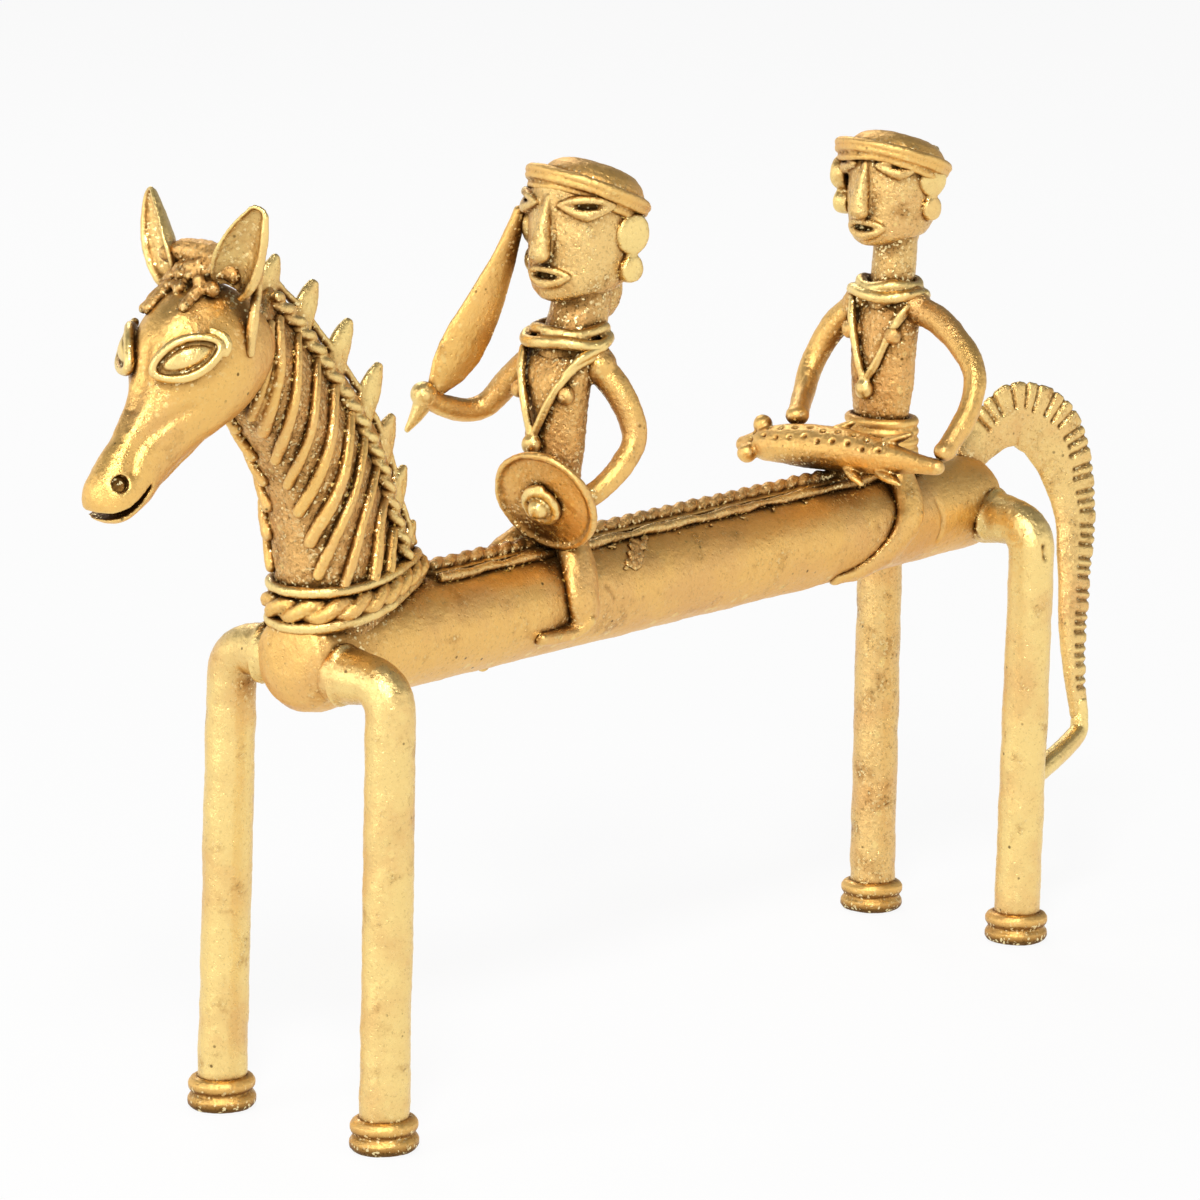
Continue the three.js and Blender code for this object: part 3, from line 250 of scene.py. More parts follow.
def sleeve(rings):
    """A sphere whose rings are pulled onto rings of points, its poles closing the two ends."""
    rings = np.asarray(rings, float)
    rows, count = rings.shape[:2]
    deselect()
    bpy.ops.mesh.primitive_uv_sphere_add(segments=count, ring_count=rows + 1, radius=1)
    obj = bpy.context.object
    old = points_of(obj)
    row = np.rint(np.arccos(np.clip(old[:, 2], -1, 1)) / math.pi * (rows + 1)).astype(int)
    turn = np.rint(np.arctan2(old[:, 1], old[:, 0]) / FULL_TURN * count).astype(int) % count
    new = rings[np.clip(row - 1, 0, rows - 1), turn]
    new[row == 0] = rings[0].mean(0)
    new[row == rows + 1] = rings[-1].mean(0)
    move_points(obj, new)
    return obj


def hoop(rings):
    """A torus pulled onto rings of points that follow a closed line."""
    rings = np.asarray(rings, float)
    rows, count = rings.shape[:2]
    deselect()
    bpy.ops.mesh.primitive_torus_add(
        major_segments=rows, minor_segments=count, major_radius=2, minor_radius=1
    )
    obj = bpy.context.object
    old = points_of(obj)
    row = np.rint(np.arctan2(old[:, 1], old[:, 0]) / FULL_TURN * rows).astype(int) % rows
    out = np.hypot(old[:, 0], old[:, 1]) - 2
    turn = np.rint(np.arctan2(old[:, 2], out) / FULL_TURN * count).astype(int) % count
    move_points(obj, rings[row, turn])
    return obj


def strand(points, radii, depths=None, across=None, count=10, pitch=0.9, dense=False):
    """A closed roll of wax along a smooth line, with round ends."""
    line = np.asarray(points, float) if dense else smooth_line(points, pitch)
    tangent, side, up = frames_along(line, across)
    widths = stations(radii, len(line))
    depths = widths if depths is None else stations(depths, len(line))
    for end in (0, -1):
        reach = min(widths[end], depths[end])
        lean = tangent[end] * (-1 if end == 0 else 1)
        here, w, d = line[end].copy(), widths[end], depths[end]
        s, u = side[end].copy(), up[end].copy()
        for angle in END_RINGS:
            step = math.radians(angle)
            put = 0 if end == 0 else len(line)
            line = np.insert(line, put, here + lean * reach * math.cos(step), axis=0)
            side = np.insert(side, put, s, axis=0)
            up = np.insert(up, put, u, axis=0)
            widths = np.insert(widths, put, w * math.sin(step))
            depths = np.insert(depths, put, d * math.sin(step))
    return sleeve(ovals(line, side, up, widths, depths, count))


def ring_thread(points, radius, count=12, pitch=0.9):
    """A closed loop of thread along a smooth closed line."""
    line = smooth_line(points, pitch, closed=True)
    _, side, up = frames_along(line, closed=True)
    radii = np.full(len(line), float(radius))
    return hoop(ovals(line, side, up, radii, radii, count))


def rope(points, strand_radius, coil_radius, pitch, closed=False, across=None, rise=None):
    """Two strands twisted round each other along a line."""
    line = smooth_line(points, pitch / 10, closed)
    _, side, up = frames_along(line, across, closed)
    gone = walked(line)
    turns = gone / pitch
    if closed:
        whole = round((gone[-1] + pitch / 10) / pitch)
        turns = np.arange(len(line)) / len(line) * whole
    rise = coil_radius if rise is None else rise
    made = []
    for share in (0, 0.5):
        angle = (turns + share) * FULL_TURN
        path = line + side * (np.cos(angle) * coil_radius)[:, None]
        path = path + up * (np.sin(angle) * rise)[:, None]
        if closed:
            _, s, u = frames_along(path, side, closed=True)
            radii = np.full(len(path), strand_radius)
            made.append(hoop(ovals(path, s, u, radii, radii, 8)))
        else:
            made.append(strand(path, strand_radius, count=8, dense=True))
    return made


def bead(centre, radius, squash=(1, 1, 1)):
    """A ball of wax, pressed a little out of round."""
    deselect()
    bpy.ops.mesh.primitive_uv_sphere_add(segments=14, ring_count=9, radius=radius)
    obj = bpy.context.object
    bpy.ops.object.mode_set(mode="EDIT")
    bpy.ops.mesh.select_all(action="SELECT")
    bpy.ops.transform.resize(value=squash)
    bpy.ops.transform.translate(value=tuple(centre))
    bpy.ops.object.mode_set(mode="OBJECT")
    return obj


def scaled(profile, radius, height=1):
    """Profile drawn in shares of a radius, and of a height where one is given."""
    return [(radius * share, height * rise) for share, rise in profile]


def turned(profile, count, centre, direction=(0, 0, 1)):
    """A body of revolution: a drawn profile of [radius, height] pairs, spun and closed."""
    deselect()
    bpy.ops.mesh.primitive_plane_add(size=1)
    obj = bpy.context.object
    bpy.ops.object.mode_set(mode="EDIT")
    drawing = bmesh.from_edit_mesh(obj.data)
    bmesh.ops.delete(drawing, geom=drawing.verts[:], context="VERTS")
    corners = [drawing.verts.new((radius, 0, height)) for radius, height in profile]
    for a, b in zip(corners, corners[1:]):
        drawing.edges.new((a, b))
    bmesh.update_edit_mesh(obj.data)
    bpy.ops.mesh.select_all(action="SELECT")
    bpy.ops.mesh.spin(steps=count, angle=FULL_TURN, center=(0, 0, 0), axis=(0, 0, 1))
    bpy.ops.mesh.select_all(action="SELECT")
    bpy.ops.mesh.remove_doubles(threshold=0.002)
    bpy.ops.mesh.normals_make_consistent(inside=False)
    bpy.ops.object.mode_set(mode="OBJECT")
    turn = Vector((0, 0, 1)).rotation_difference(Vector(direction)).to_matrix().to_4x4()
    obj.data.transform(Matrix.Translation(Vector(centre)) @ turn)
    return obj


def apply_modifier(obj, kind, **values):
    made = obj.modifiers.new(kind.lower(), kind)
    for key, value in values.items():
        setattr(made, key, value)
    pick(obj)
    bpy.ops.object.modifier_apply(modifier=made.name)


def cut(obj, tool):
    """Takes the tool's shape out of a piece."""
    apply_modifier(obj, "BOOLEAN", operation="DIFFERENCE", solver="MANIFOLD", object=tool)
    bpy.data.objects.remove(tool)


def fused(lumps, cell, soften=3):
    """One skin over lumps that touch, as wax pieces melt together."""
    deselect()
    for lump in lumps:
        lump.select_set(True)
    bpy.context.view_layer.objects.active = lumps[0]
    if len(lumps) > 1:
        bpy.ops.object.join()
    obj = bpy.context.object
    bpy.ops.object.transform_apply(location=True, rotation=True, scale=True)
    size = cell * 1
    apply_modifier(obj, "REMESH", mode="VOXEL", voxel_size=size)
    if soften:
        apply_modifier(obj, "SMOOTH", factor=0.5, iterations=soften)
    return obj


def press(obj, lines, reach, depth):
    """Presses marks into the skin along lines of points; a negative depth raises them."""
    place = points_of(obj)
    normal = read(obj.data.vertex_normals, "vector")
    sink = np.zeros(len(place))
    for line in lines:
        marks = np.atleast_2d(np.asarray(line, float))
        if len(marks) > 1:
            pitch = reach * MARK_STEP
            marks = smooth_line(marks, pitch) if len(marks) > 2 else straight(marks, pitch)
        low, high = marks.min(0) - reach * 2, marks.max(0) + reach * 2
        near = np.flatnonzero(((place > low) & (place < high)).all(1))
        if not len(near):
            continue
        apart = np.linalg.norm(place[near, None] - marks[None], axis=2).min(1) / reach
        sink[near] = np.maximum(sink[near], np.exp(-(apart**2) * MARK_FADE))
    move_points(obj, place - normal * (sink * depth)[:, None])


def straight(ends, pitch):
    count = max(2, int(np.linalg.norm(ends[1] - ends[0]) / pitch) + 1)
    return ends[0] + (ends[1] - ends[0]) * np.linspace(0, 1, count)[:, None]


def uneven(obj, size, height):
    """Unevenness of hand-laid wax, from a cloud pattern in the piece's own space."""
    clouds = bpy.data.textures.get(f"wax {size}") or bpy.data.textures.new(f"wax {size}", "CLOUDS")
    clouds.noise_scale = size
    clouds.noise_depth = 2
    apply_modifier(obj, "DISPLACE", texture=clouds, strength=height, mid_level=0.5)


def finished(obj, name, slot, wave=0.35, grain=0.1, grime=0.4):
    """Uneven skin, metres, place, finish and what the piece stands for."""
    uneven(obj, WAVE_CELL, wave)
    uneven(obj, GRAIN_CELL, grain)
    obj.name = f"cast_{name}"
    obj.data.name = name
    points = (points_of(obj) + midway()) * MM
    points[:, 2] = np.maximum(points[:, 2], 0)
    move_points(obj, points)
    pick(obj)
    bpy.ops.object.shade_smooth()
    obj.data.materials.clear()
    obj.data.materials.append(cast_brass(slot, grime))
    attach(obj, "root")
    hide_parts(name)


def cast(lumps, name, slot, soften=2, cell=1.0, **skin):
    """Lumps melted together and finished as one piece."""
    finished(fused(lumps, mm("fine_cell") * cell, soften), name, slot, **skin)


def midway():
    """The point midway between the hooves in the frame of the solids, in millimetres."""
    hooves = [f"hoof_{end}_{side}" for end in ("front", "rear") for side in SIDES]
    corners = np.array([tuple(c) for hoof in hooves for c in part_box(hoof)]) / MM
    middle = corners.mean(0)
    return at(middle[0], middle[1], 0)


# Main lines of the horse
LEG_SPAN = 184.1
FORE_X = -LEG_SPAN / 2
HIND_X = LEG_SPAN / 2
CHEST_X = FORE_X - 5.15
RUMP_X = HIND_X + 7.15
CHEST_LENGTH = 12.5
STUB_HEIGHT = 81.8
AXIS = STUB_HEIGHT + 1.9
TOP = AXIS + 9.4
SEAT = TOP + 2.4
LEG_BEND = 5.2
LEG_LEAN = 1.2
WELD_AT = 9.0
WELD_RADIUS = 0.6

# Side, end, name of the hoof, x, spread at the foot and at the top, extra height
LEGS = [
    ("left", "fore", "front", FORE_X, 19.1, 19.1, 0),
    ("right", "fore", "front", FORE_X, 19.1, 17.8, 1.3),
    ("left", "hind", "rear", HIND_X, 17.6, 18.2, 0),
    ("right", "hind", "rear", HIND_X, 17.6, 18.1, 0),
]


# Shares of the radius at shares of the length of the chest, and at places ahead of the rear end
CHEST = [(0.3, 0.005), (0.55, 0.035), (0.78, 0.12), (0.92, 0.3), (0.985, 0.6), (1, 1)]
RUMP = [(1, -20), (0.99, -12), (0.98, -5), (0.93, -2.6), (0.8, -1), (0.55, -0.2), (0.3, 0)]
SCRATCHES = [
    [(-22, -9, AXIS + 3), (-20.6, -9.3, AXIS + 1.6), (-19.8, -9.4, AXIS)],
    [(76, -8.6, AXIS + 4), (77, -9.2, AXIS), (76.4, -8.4, AXIS - 4)],
]


def make_barrel():
    barrel = mm("barrel_radius")
    rows = [(radius, CHEST_X + reach) for radius, reach in scaled(CHEST, barrel, CHEST_LENGTH)]
    rows += [(barrel, x) for x in np.arange(-80, 70, 6)]
    rows += [(radius, RUMP_X + reach) for radius, reach in scaled(RUMP, mm("rump_radius"))]
    turn = round_turn(48)
    rings = []
    for radius, x in rows:
        front = max(0.0, 1 - abs(x - CHEST_X - 6) / 9)
        y = np.sin(turn) * radius
        z = np.cos(turn) * radius * (1 + 0.1 * front * (np.cos(turn) < 0))
        rings.append(np.stack([np.full_like(turn, x), y, AXIS + z], axis=1))
    body = fused([sleeve(rings)], mm("broad_cell"), 4)
    press(body, SCRATCHES, 0.55, 0.4)
    finished(body, "horse_body", "brass", wave=0.45, grain=0.14, grime=0.5)


def leg_line(side, x, spread, top_spread, rise):
    top = x + LEG_LEAN
    stub = STUB_HEIGHT + rise
    bend_y, bend_z = top_spread - LEG_BEND, stub - LEG_BEND
    line = [(top, side * y, stub) for y in np.linspace(3.5, bend_y, 6)]
    for angle in np.linspace(0, math.pi / 2, 8)[1:]:
        y = bend_y + LEG_BEND * math.sin(angle)
        line.append((top, side * y, bend_z + LEG_BEND * math.cos(angle)))
    low = (x, side * spread, 1.8)
    line += [tuple(blend(np.array(line[-1]), np.array(low), t)) for t in np.linspace(0, 1, 40)[1:]]
    return np.array(line)


def make_legs():
    radius = mm("leg_radius")
    for name, end, _, x, spread, top_spread, rise in LEGS:
        side = SIDES[name]
        line = leg_line(side, x, spread, top_spread, rise)
        leg = strand(line, radius, count=20, dense=True)
        root = strand(line[2:6], [radius * 1.2, radius * 1.02], count=20)
        seam = []
        for angle in round_turn(20):
            reach = radius * 1.1 + 0.5 * math.sin(3 * angle + x)
            spot = at(math.cos(angle) * reach, side * WELD_AT, math.sin(angle) * reach)
            seam.append(line[0] * (1, 0, 1) + spot)
        weld = ring_thread(seam, WELD_RADIUS, count=10)
        piece = fused([leg, root, weld], mm("broad_cell") * 0.9, 3)
        if end == "hind" and name == "left":
            hole = [line[12] + at(-1.2, -3.6, 1.5), line[12] + at(-1.1, -3.8, -0.6)]
            press(piece, [hole], 0.8, 1.3)
        # The right hind leg is made darker: stronger painted shade in its hollows, more smears and
        # grit
        dirt_and_shade = 0.8 if (end, name) == ("hind", "right") else 0.48
        finished(piece, f"{end}leg_{name}", "brass_bright", wave=0.55, grain=0.14, grime=dirt_and_shade)


def make_hooves():
    wire = mm("hoof_height") / 4 + 0.06
    for name, _, hoof, x, spread, _, _ in LEGS:
        side = SIDES[name]
        lumps = []
        for turn, (height, out) in enumerate(((wire, 0.0), (wire * 2.95, -0.12))):
            ring = mm("hoof_radius") - wire + out
            points = []
            for angle in round_turn(12):
                sway = 0.16 * math.sin(angle * 2 + x + turn * 2)
                place = (math.cos(angle) * (ring + sway), math.sin(angle) * (ring - sway))
                tilt = 0.14 * math.sin(angle + x)
                points.append((x + place[0], side * spread + place[1], height + tilt))
            lumps.append(ring_thread(points, wire * 1.04, count=10))
        core = [(0, 0.25), (5.2, 0.25), (5.0, wire * 3.4), (0, wire * 3.6)]
        lumps.append(turned(core, 20, (x, side * spread, 0)))
        cast(lumps, f"hoof_{hoof}_{name}", "brass_dark", wave=0.3)


# Neck: points of its front and crest from the chest and the barrel's top, share of the half width
NECK = [
    ((1.9, -7), (32.7, -4), 1.02), ((1.7, 3), (33, 4.4), 1), ((0.4, 13), (28.9, 13.8), 0.98),
    ((-1.4, 21), (25.6, 23.3), 0.96), ((-5.3, 28), (19.8, 32.7), 0.93),
    ((-9.8, 34), (11.6, 42.1), 0.9), ((-12.8, 41), (3.7, 50.2), 0.84),
    ((-16.3, 49), (-4, 56.7), 0.66),
]
NECK_HALF = 8.6
NECK_TAPER = 0.72
CREST = math.pi


def neck_edge(which, share):
    """Point on the front (0) or crest (1) line of the neck, smooth between the rows."""
    rows = np.array([row[which] for row in NECK])
    place = min(max(share, 0), 1) * (len(rows) - 1)
    i = min(int(place), len(rows) - 2)
    run = np.vstack([2 * rows[0] - rows[1], rows, 2 * rows[-1] - rows[-2]])
    spot = between(*run[i : i + 4], place - i)
    return at(CHEST_X + spot[0], 0, TOP + spot[1])


def on_neck(share, angle):
    t = (1 - math.cos(angle)) / 2
    point = blend(neck_edge(0, share), neck_edge(1, share), t)
    half = read_row([row[2] for row in NECK], share) * NECK_HALF
    point[1] = -half * math.sin(angle) * (1 - NECK_TAPER * t) * 1.32
    return point


def neck_place(share, angle):
    """Point on the skin of the neck and its outward normal; angle 0 is the front, pi the crest."""
    step = 0.01
    point = on_neck(share, angle)
    up = on_neck(share + step, angle) - on_neck(share - step, angle)
    around = on_neck(share, angle + step) - on_neck(share, angle - step)
    normal = unit(np.cross(around, up))
    outward = point - blend(neck_edge(0, share), neck_edge(1, share), 0.45)
    return point, normal if normal.dot(outward) > 0 else -normal


def above_neck(share, angle, lift):
    point, normal = neck_place(share, angle)
    return point + normal * lift


def make_neck():
    turn = round_turn(32)
    rows = [[on_neck(share, angle) for angle in turn] for share in np.linspace(0, 1, 30)]
    piece = fused([sleeve(rows)], mm("broad_cell") * 0.8, 4)
    finished(piece, "neck", "brass", wave=0.5, grain=0.45, grime=1.0)


# Tip and length of each leaf spike
SPIKES = [
    ((-1.2, 61), 9), ((7.5, 55.7), 10), ((16.9, 47.9), 10.5), ((24, 39.5), 10.5),
    ((28.2, 29.8), 9.5), ((30.7, 20.5), 8), ((33.8, 10.4), 6.5),
]


def make_crest():
    line = [above_neck(share, CREST, 1.0) for share in np.linspace(0.17, 1.0, 15)]
    lumps = [strand(line, 0.78, count=10)]
    lean = unit(at(0.44, 0, 0.9))
    for i, ((x, rise), reach) in enumerate(SPIKES):
        top = at(CHEST_X + x, 0.3 * (-1) ** i, TOP + rise)
        foot = top - lean * reach
        half = min(2.75, reach * 0.3)
        widths = np.array([0.85, 0.98, 1, 1, 0.95, 0.85, 0.68, 0.4]) * half
        thick = np.array([1, 1, 1, 0.95, 0.88, 0.78, 0.66, 0.5]) * 1.5
        spine = [foot, blend(foot, top, 0.5) - at(0.35, 0, 0), top - lean * 0.7]
        lumps.append(strand(spine, widths, thick, (0.9, 0, -0.44), 14, 0.6))
    cast(lumps, "mane_crest", "brass_bright", soften=3, wave=0.5, grain=0.16)


# Top and low end of each rib: share of the neck's height and angle round it
RIBS = [
    ((0.965, 1.5), (0.74, 0.25)), ((0.945, 1.8), (0.67, 0.3)), ((0.86, 2.0), (0.55, 0.25)),
    ((0.77, 2.15), (0.45, 0.25)), ((0.69, 2.25), (0.36, 0.33)), ((0.615, 2.3), (0.27, 0.45)),
    ((0.535, 2.25), (0.185, 0.5)), ((0.43, 2.1), (0.15, 0.85)), ((0.33, 2.05), (0.145, 1.3)),
    ((0.25, 2.1), (0.15, 1.65)),
]


BRAID_COIL = 0.78
BRAID_PITCH = 7.0


def make_mane():
    radius = mm("rib_radius")
    for name, side in SIDES.items():
        shares = np.linspace(0.17, 0.99, 24)
        edge = [above_neck(s, -side * (2.14 + 0.05 * math.sin(s * 9)), 0.6) for s in shares]
        strands = rope(edge, mm("braid_radius") * 1.2, BRAID_COIL, BRAID_PITCH)
        cast(strands, f"mane_braid_{name}", "brass_bright", soften=1, wave=0.3, grain=0.12)
        lumps = []
        for index, (top, low) in enumerate(RIBS):
            line = []
            for v in np.linspace(0, 1, 11):
                share = blend(top[0], low[0], v**1.6)
                angle = blend(top[1], low[1], v)
                lift = 0.36 + 0.12 * math.sin(index * 2.1 + v * 3)
                line.append(above_neck(share, -side * angle, lift))
            size = radius * (1 + 0.12 * math.sin(index * 1.7))
            widths = np.array([0.75, 0.9, 1, 1, 1.05, 1.12, 1.2, 1.15]) * size
            lumps.append(strand(line, widths, count=12))
        cast(lumps, f"mane_ribs_{name}", "brass", grain=0.16)


def collar_line(front, rear, lift, steps=30):
    line = []
    for angle in round_turn(steps):
        share = blend(front, rear, (1 - math.cos(angle)) / 2)
        point, normal = neck_place(share, angle)
        line.append(point + unit(at(normal[0], normal[1], 0)) * lift)
    return line


# Shares of the height of the neck at the front and the rear of each part of the collar
UPPER_RING = (0.141, 0.15)
LOWER_RING = (0.052, 0.088)
BAND = (0.093, 0.117)


def make_collar():
    radius = mm("collar_radius")
    upper = ring_thread(collar_line(*UPPER_RING, radius * 0.75), radius)
    cast([upper], "collar_upper_ring", "brass_bright", wave=0.7, grain=0.14)
    lower = ring_thread(collar_line(*LOWER_RING, radius * 0.9), radius * 1.12)
    cast([lower], "collar_lower_ring", "brass_bright", wave=0.7, grain=0.14)
    twist = dict(strand_radius=1.42, coil_radius=1.0, rise=0.75, pitch=9.4)
    strands = rope(collar_line(*BAND, 0.5), closed=True, across=(0, 0, 1), **twist)
    cast(strands, "collar_braid", "brass_dark", soften=1, wave=0.8, grain=0.2)


# Head of the horse
HEAD_REAR = at(CHEST_X - 10.8, 0, TOP + 53.9)
HEAD_AXIS = unit(at(-34, 0, -29))
HEAD_UP = at(HEAD_AXIS[2], 0, -HEAD_AXIS[0])
# Reach along the head, rises of the forehead and the jaw line, half width
HEAD = [
    (0.5, 4.5, -5.5, 4.5), (3, 9.5, -9.6, 8), (7.5, 12, -11.3, 9.6), (14, 13, -11.3, 9.9),
    (20, 11, -9.6, 9), (24.5, 7.6, -8.5, 6.9), (28.5, 5.8, -7.8, 5.6), (33, 4.8, -7.4, 5),
    (38.5, 4.4, -7.4, 4.9), (42.8, 3.4, -6, 4.8), (45.4, 1.5, -4.4, 3.8), (46.4, -0.4, -2.9, 1.8),
]


def on_head(reach, rise, y=0.0):
    return HEAD_REAR + HEAD_AXIS * reach + HEAD_UP * rise + at(0, y, 0)


def head_skin(reach, angle, lift=0.0):
    """Point on the head; angle 0 is the forehead line, pi the jaw."""
    table = np.array(HEAD)
    upper, lower, half = (np.interp(reach, table[:, 0], table[:, k]) for k in (1, 2, 3))
    middle, height = (upper + lower) / 2, (upper - lower) / 2 + lift
    y = (half + lift) * math.sin(angle) * (1 - 0.12 * math.cos(angle))
    return on_head(reach, middle + height * math.cos(angle), y)


# Reach and rise of a nostril, and the profile of its well
NOSTRIL_AT = (41.2, 1.5)
NOSTRIL = [(0, -2.2), (1.5, -2.2), (1.6, 3), (0, 3)]


def make_head():
    table = np.array(HEAD)
    line = smooth_line(table[:, :3], 1.2)
    halves = smooth_line(table[:, [0, 3, 3]], 1.2)
    turn = round_turn(36)
    rows = []
    for reach, upper, lower in line:
        half = np.interp(reach, halves[:, 0], halves[:, 1])
        middle, height = (upper + lower) / 2, (upper - lower) / 2
        row = []
        for a in turn:
            y = half * math.sin(a) * (1 - 0.12 * math.cos(a))
            row.append(on_head(reach, middle + height * math.cos(a), y))
        rows.append(row)
    jaw = [head_skin(12, math.pi), head_skin(24, math.pi, 0.2), head_skin(34, math.pi)]
    skull = fused([sleeve(rows), strand(jaw, [1.2, 1.6, 1.2], count=10)], mm("fine_cell") * 1.3, 2)
    for near, far in ((-9, -1.1), (1.1, 9)):
        cut(skull, mouth_wedge(near, far, 0))
    cut(skull, mouth_wedge(-2, 2, 7.2))
    for side in (-1, 1):
        place = head_side(*NOSTRIL_AT, side)
        cut(skull, turned(NOSTRIL, 18, place, (-0.42, side * 0.86, 0.28)))
    piece = fused([skull], mm("fine_cell") * 1.2, 3)
    lines = []
    for side in (-1, 1):
        cheek = ((23.5, 1.2), (28.5, 2.2), (34.5, 2.6), (38, 1.4))
        lines.append([head_side(reach, rise, side) for reach, rise in cheek])
    press(piece, lines, 1.3, 0.55)
    brow = [[on_head(20, 10.6, 0), on_head(25, 7.6, 0), on_head(29, 6, 0)]]
    press(piece, brow, 1.5, 0.5)
    bridge = [[on_head(25, 6.6, side * 2.6), on_head(33, 4.6, side * 1.6)] for side in (-1, 1)]
    press(piece, bridge, 1.3, -0.3)
    finished(piece, "horse_head", "brass", wave=0.5, grain=0.12)


# Side view of the open mouth: reach along the head and rise over its axis
MOUTH = [
    (49, 0.9), (46, -0.9), (43.4, -2.1), (39.2, -3), (36, -3.3), (36.8, -3.8), (39.8, -4.2),
    (43.3, -3.8), (46.6, -2.1), (49, -0.9),
]


def mouth_wedge(near, far, inset):
    """Tool that opens the mouth between two widths; the inset keeps its rear end closed."""
    rows = []
    for y in (near, (near + far) / 2, far):
        rows.append([on_head(max(reach, 36 + inset), rise, y) for reach, rise in MOUTH])
    return outward(sleeve(rows))


def outward(obj):
    """Faces of a closed shape turned outwards."""
    pick(obj)
    bpy.ops.object.mode_set(mode="EDIT")
    bpy.ops.mesh.select_all(action="SELECT")
    bpy.ops.mesh.remove_doubles(threshold=0.0001)
    bpy.ops.mesh.normals_make_consistent(inside=False)
    bpy.ops.object.mode_set(mode="OBJECT")
    return obj


def head_side(reach, rise, side):
    """Point on the side of the head at a rise over its axis."""
    table = np.array(HEAD)
    upper, lower = (np.interp(reach, table[:, 0], table[:, k]) for k in (1, 2))
    share = (rise - (upper + lower) / 2) / ((upper - lower) / 2)
    return head_skin(reach, side * math.acos(min(max(share, -1), 1)))


EYE_LENGTH = 13.4
EYE_HEIGHT = 7.6
# Lift and share of the almond of each ring of the eyeball
LENS = [(-2.6, 0.96), (-0.4, 0.96), (0.35, 0.78), (0.85, 0.66), (1.3, 0.4), (1.45, 0.15)]


def make_eyes():
    for name, side in SIDES.items():
        centre = on_head(19, 8.5, side * 6.9)
        outward = unit(at(-0.72, side * 0.64, 0.26))
        along = at(0.62, side * 0.72, 0.42)
        along = unit(along - outward * along.dot(outward))
        height = unit(np.cross(outward, along))

        def almond(angle, grow):
            reach = math.cos(angle)
            rise = math.sin(angle) * (1 - 0.25 * reach * reach)
            return (
                centre
                + along * reach * (EYE_LENGTH + grow) / 2
                + height * rise * (EYE_HEIGHT + grow) / 2
                - outward * 0.9 * reach * reach
            )

        turn = round_turn(24)
        loop = [almond(a, -1.7) + outward * 0.35 for a in turn]
        lumps = [ring_thread(loop, 0.92, pitch=0.6)]
        rows = []
        for lift, share in LENS:
            rows.append([centre + (almond(a, -1.7) - centre) * share + outward * lift for a in turn])
        lumps.append(sleeve(rows))
        curl = [almond(a, 1.2 + a) - outward * 0.1 for a in np.linspace(-0.5, 0.75, 6)]
        lumps.append(strand(curl, [0.75, 0.85, 0.7, 0.5], count=10))
        piece = fused(lumps, mm("fine_cell"), 1)
        groove = [almond(a, -3.6) + outward * 0.9 for a in np.append(turn, 0)]
        press(piece, [groove], 0.42, 0.45)
        finished(piece, f"horse_eye_{name}", "brass_bright", wave=0.25, grain=0.08, grime=0.3)


EAR_LENGTH = 15.2
EAR_HALF = 3.8
EAR_WIDTHS = [0.75, 0.95, 1.05, 1.1, 1.1, 1.05, 0.97, 0.86, 0.72, 0.54, 0.3]
EAR_RIM = [0.35, 0.35, 0.3, 0.4, 0.7, 0.8, 0.8]


def make_ears():
    for name, side in SIDES.items():
        foot = on_head(3.6, 9.0, side * 6.2)
        tip = at(CHEST_X - 19.1 + 0.7 * side, 10.7 * side, TOP + 67.2)
        lean = unit(tip - foot)
        hollow = at(-0.86, side * 0.42, 0.1)
        hollow = unit(hollow - lean * hollow.dot(lean))
        across = np.cross(lean, hollow)
        rows = []
        rim = []
        for row, share in enumerate(EAR_WIDTHS):
            half = EAR_HALF * share
            centre = foot + lean * (EAR_LENGTH + 0.6) * row / (len(EAR_WIDTHS) - 1)
            thin = 1.35 * max(share, 0.4)
            front = [(s, half * 0.62 * s * s) for s in np.linspace(-1, 1, 11)]
            back = [(s * 0.98, half * 0.62 * s * s - thin) for s in np.linspace(1, -1, 11)]
            rows.append([centre + across * s * half + hollow * lift for s, lift in front + back])
            reach, lip = across * half * 0.95, hollow * half * 0.5
            rim.append((centre - reach + lip, centre + reach + lip))
        edge = [r[0] for r in rim] + [r[1] for r in rim[::-1]]
        lumps = [sleeve(rows), strand(edge, EAR_RIM[::-side], count=8)]
        curl = [
            foot + lean * 7 - across * EAR_HALF * 0.95 * side + hollow,
            on_head(0.8, 7.4, side * 9.2),
            on_head(4.2, 5.2, side * 9.7),
            on_head(8, 2.4, side * 9.9),
            on_head(10, 0.4, side * 9.7),
        ]
        lumps.append(strand(curl, [0.7, 0.9, 1.0, 1.0, 0.9], count=12))
        cast(lumps, f"horse_ear_{name}", "brass_bright", wave=0.5, grain=0.14)


FOREHEAD_CRUMBS = 70
FOREHEAD_BEADS = 16
# Place across the head, both ends along it and radius of each short strand
LOCKS = [(6.6, 4.2, 11.4, 1.05), (3.4, 4, 12.8, 1.3), (0.3, 5, 8.8, 0.9), (-2.8, 5, 11.6, 1.15)]


